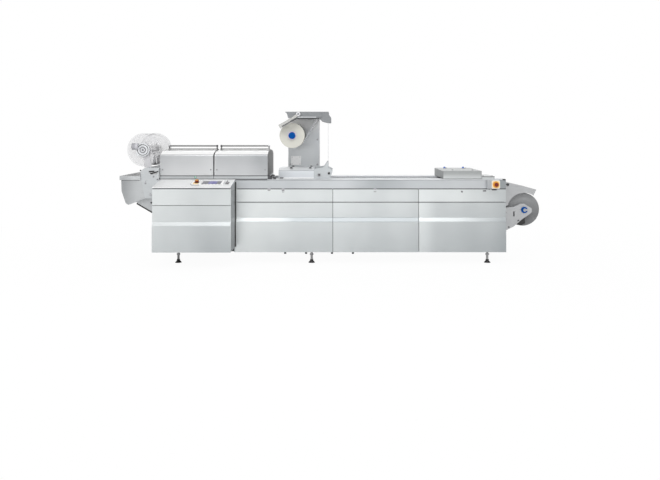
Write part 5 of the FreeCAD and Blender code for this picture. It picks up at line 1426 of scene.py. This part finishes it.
class TRAYSEALER_OT_stage(bpy.types.Operator):
    """Floor, soft lights and the camera"""
    bl_idname = "traysealer.stage"
    bl_label = "Stage"

    def execute(self, context):
        self.floor(context)
        self.light(context, "overhead softbox", (0, -5.2, 5.4), (0, 0.2, 0.8), 6.5, 2.2, 170)
        self.light(context, "front softbox", (0.5, -9.6, 2.4), (0, 0.4, 1.2), 5.0, 1.6, 60)
        self.light(context, "left softbox", (-6.5, -4.5, 3.2), (0, 0.2, 0.8), 3.0, 3.0, 70)
        self.light(context, "rear softbox", (0, 7.0, 4.2), (0, 0, 1.0), 8.0, 2.4, 130)
        self.world(context)
        self.camera(context, context.scene.traysealer_stage)
        context.scene.view_settings.view_transform = "Standard"
        return {"FINISHED"}

    def floor(self, context):
        """A floor that the camera sees as almost pure white."""
        mesh = bpy.data.meshes.new("floor")
        mesh.from_pydata([(-40, -30, 0), (40, -30, 0), (40, 60, 0), (-40, 60, 0)], [], [(0, 1, 2, 3)])
        floor = bpy.data.objects.new("floor", mesh)
        context.scene.collection.objects.link(floor)
        finish = Finish("pale floor")
        finish.set(Base_Color=grey(0.97), Roughness=0.9)
        reach = finish.value("ShaderNodeVectorMath", "Value", {"operation": "LENGTH"}, {0: finish.spot})
        white = finish.node("ShaderNodeEmission", None, {"Color": grey(1.0), "Strength": 1.0})
        seen = finish.value("ShaderNodeLightPath", "Is Camera Ray")
        share = seen * (reach.rise(2.5, 6) * 0.04 + 0.96)
        mixed = finish.node("ShaderNodeMixShader", None,
                            {0: share, 1: finish.surface.outputs[0], 2: white.outputs[0]})
        finish.feed(finish.out.inputs["Surface"], mixed.outputs[0])
        mesh.materials.append(finish.material)

    def light(self, context, name, spot, target, wide, deep, power):
        lamp = bpy.data.objects.new(name, bpy.data.lights.new(name, "AREA"))
        context.scene.collection.objects.link(lamp)
        lamp.data.shape = "RECTANGLE"
        lamp.data.size = wide
        lamp.data.size_y = deep
        lamp.data.energy = power
        lamp.location = spot
        lamp.rotation_euler = (Vector(target) - Vector(spot)).to_track_quat("-Z", "Y").to_euler()

    def world(self, context):
        """White behind the machine, and a softer white as fill light."""
        world = bpy.data.worlds.new("studio")
        context.scene.world = world
        world.use_nodes = True
        graph = Graph(world.node_tree)
        path = graph.node("ShaderNodeLightPath")
        direct = Reading(graph, path.outputs["Is Camera Ray"])
        seen = direct.worked("MAXIMUM", direct, path.outputs["Is Transmission Ray"])
        fill, back = (graph.node("ShaderNodeBackground", None, {"Color": grey(1.0), "Strength": strength})
                      for strength in (0.72, 1.0))
        mixed = graph.node("ShaderNodeMixShader", None, {0: seen, 1: fill.outputs[0], 2: back.outputs[0]})
        graph.node("ShaderNodeOutputWorld", None, {"Surface": mixed.outputs[0]})

    def camera(self, context, sizes):
        """A level camera whose frame is shifted down and slightly to the left, as in the photo."""
        camera = bpy.data.objects.new("camera", bpy.data.cameras.new("camera"))
        context.scene.collection.objects.link(camera)
        camera.data.sensor_width = 36
        camera.data.lens = sizes.lens
        camera.data.shift_x = -5 / PHOTO_WIDTH
        camera.data.shift_y = -108 / PHOTO_WIDTH
        camera.data.clip_end = 200
        camera.location = (0.032, -sizes.distance, sizes.height)
        camera.rotation_euler = (math.pi / 2, 0, 0)
        context.scene.camera = camera


class TRAYSEALER_PT_sidebar(bpy.types.Panel):
    """Pieces of the tray sealer"""
    bl_idname = "TRAYSEALER_PT_sidebar"
    bl_label = "Tray sealer"
    bl_space_type = "VIEW_3D"
    bl_region_type = "UI"
    bl_category = "Tray sealer"

    def draw(self, context):
        for operator in OPERATORS:
            self.layout.operator(operator.bl_idname)


OPERATORS = (TRAYSEALER_OT_stage, TRAYSEALER_OT_finishes, TRAYSEALER_OT_seals, TRAYSEALER_OT_cover_locks,
             TRAYSEALER_OT_screws, TRAYSEALER_OT_desk, TRAYSEALER_OT_lid_fittings, TRAYSEALER_OT_film_chain,
             TRAYSEALER_OT_reels, TRAYSEALER_OT_winder, TRAYSEALER_OT_tower, TRAYSEALER_OT_station_fittings,
             TRAYSEALER_OT_discharge_fittings, TRAYSEALER_OT_feet_fittings, TRAYSEALER_OT_reel_arm_fittings)
SETTINGS = {"traysealer_stage": StageSizes, "traysealer_covers": CoverColours,
            "traysealer_screws": ScrewSizes, "traysealer_seals": SealSizes, "traysealer_chain": ChainSizes,
            "traysealer_desk": DeskSizes, "traysealer_winder": WinderSizes}


def register():
    for name, group in SETTINGS.items():
        bpy.utils.register_class(group)
        setattr(bpy.types.Scene, name, bpy.props.PointerProperty(type=group))
    for operator in OPERATORS:
        bpy.utils.register_class(operator)
    bpy.utils.register_class(TRAYSEALER_PT_sidebar)


def unregister():
    bpy.utils.unregister_class(TRAYSEALER_PT_sidebar)
    for operator in reversed(OPERATORS):
        bpy.utils.unregister_class(operator)
    for name, group in SETTINGS.items():
        delattr(bpy.types.Scene, name)
        bpy.utils.unregister_class(group)


def main():
    register()
    for operator in OPERATORS:
        group, name = operator.bl_idname.split(".")
        getattr(getattr(bpy.ops, group), name)()


if __name__ == "__main__":
    main()
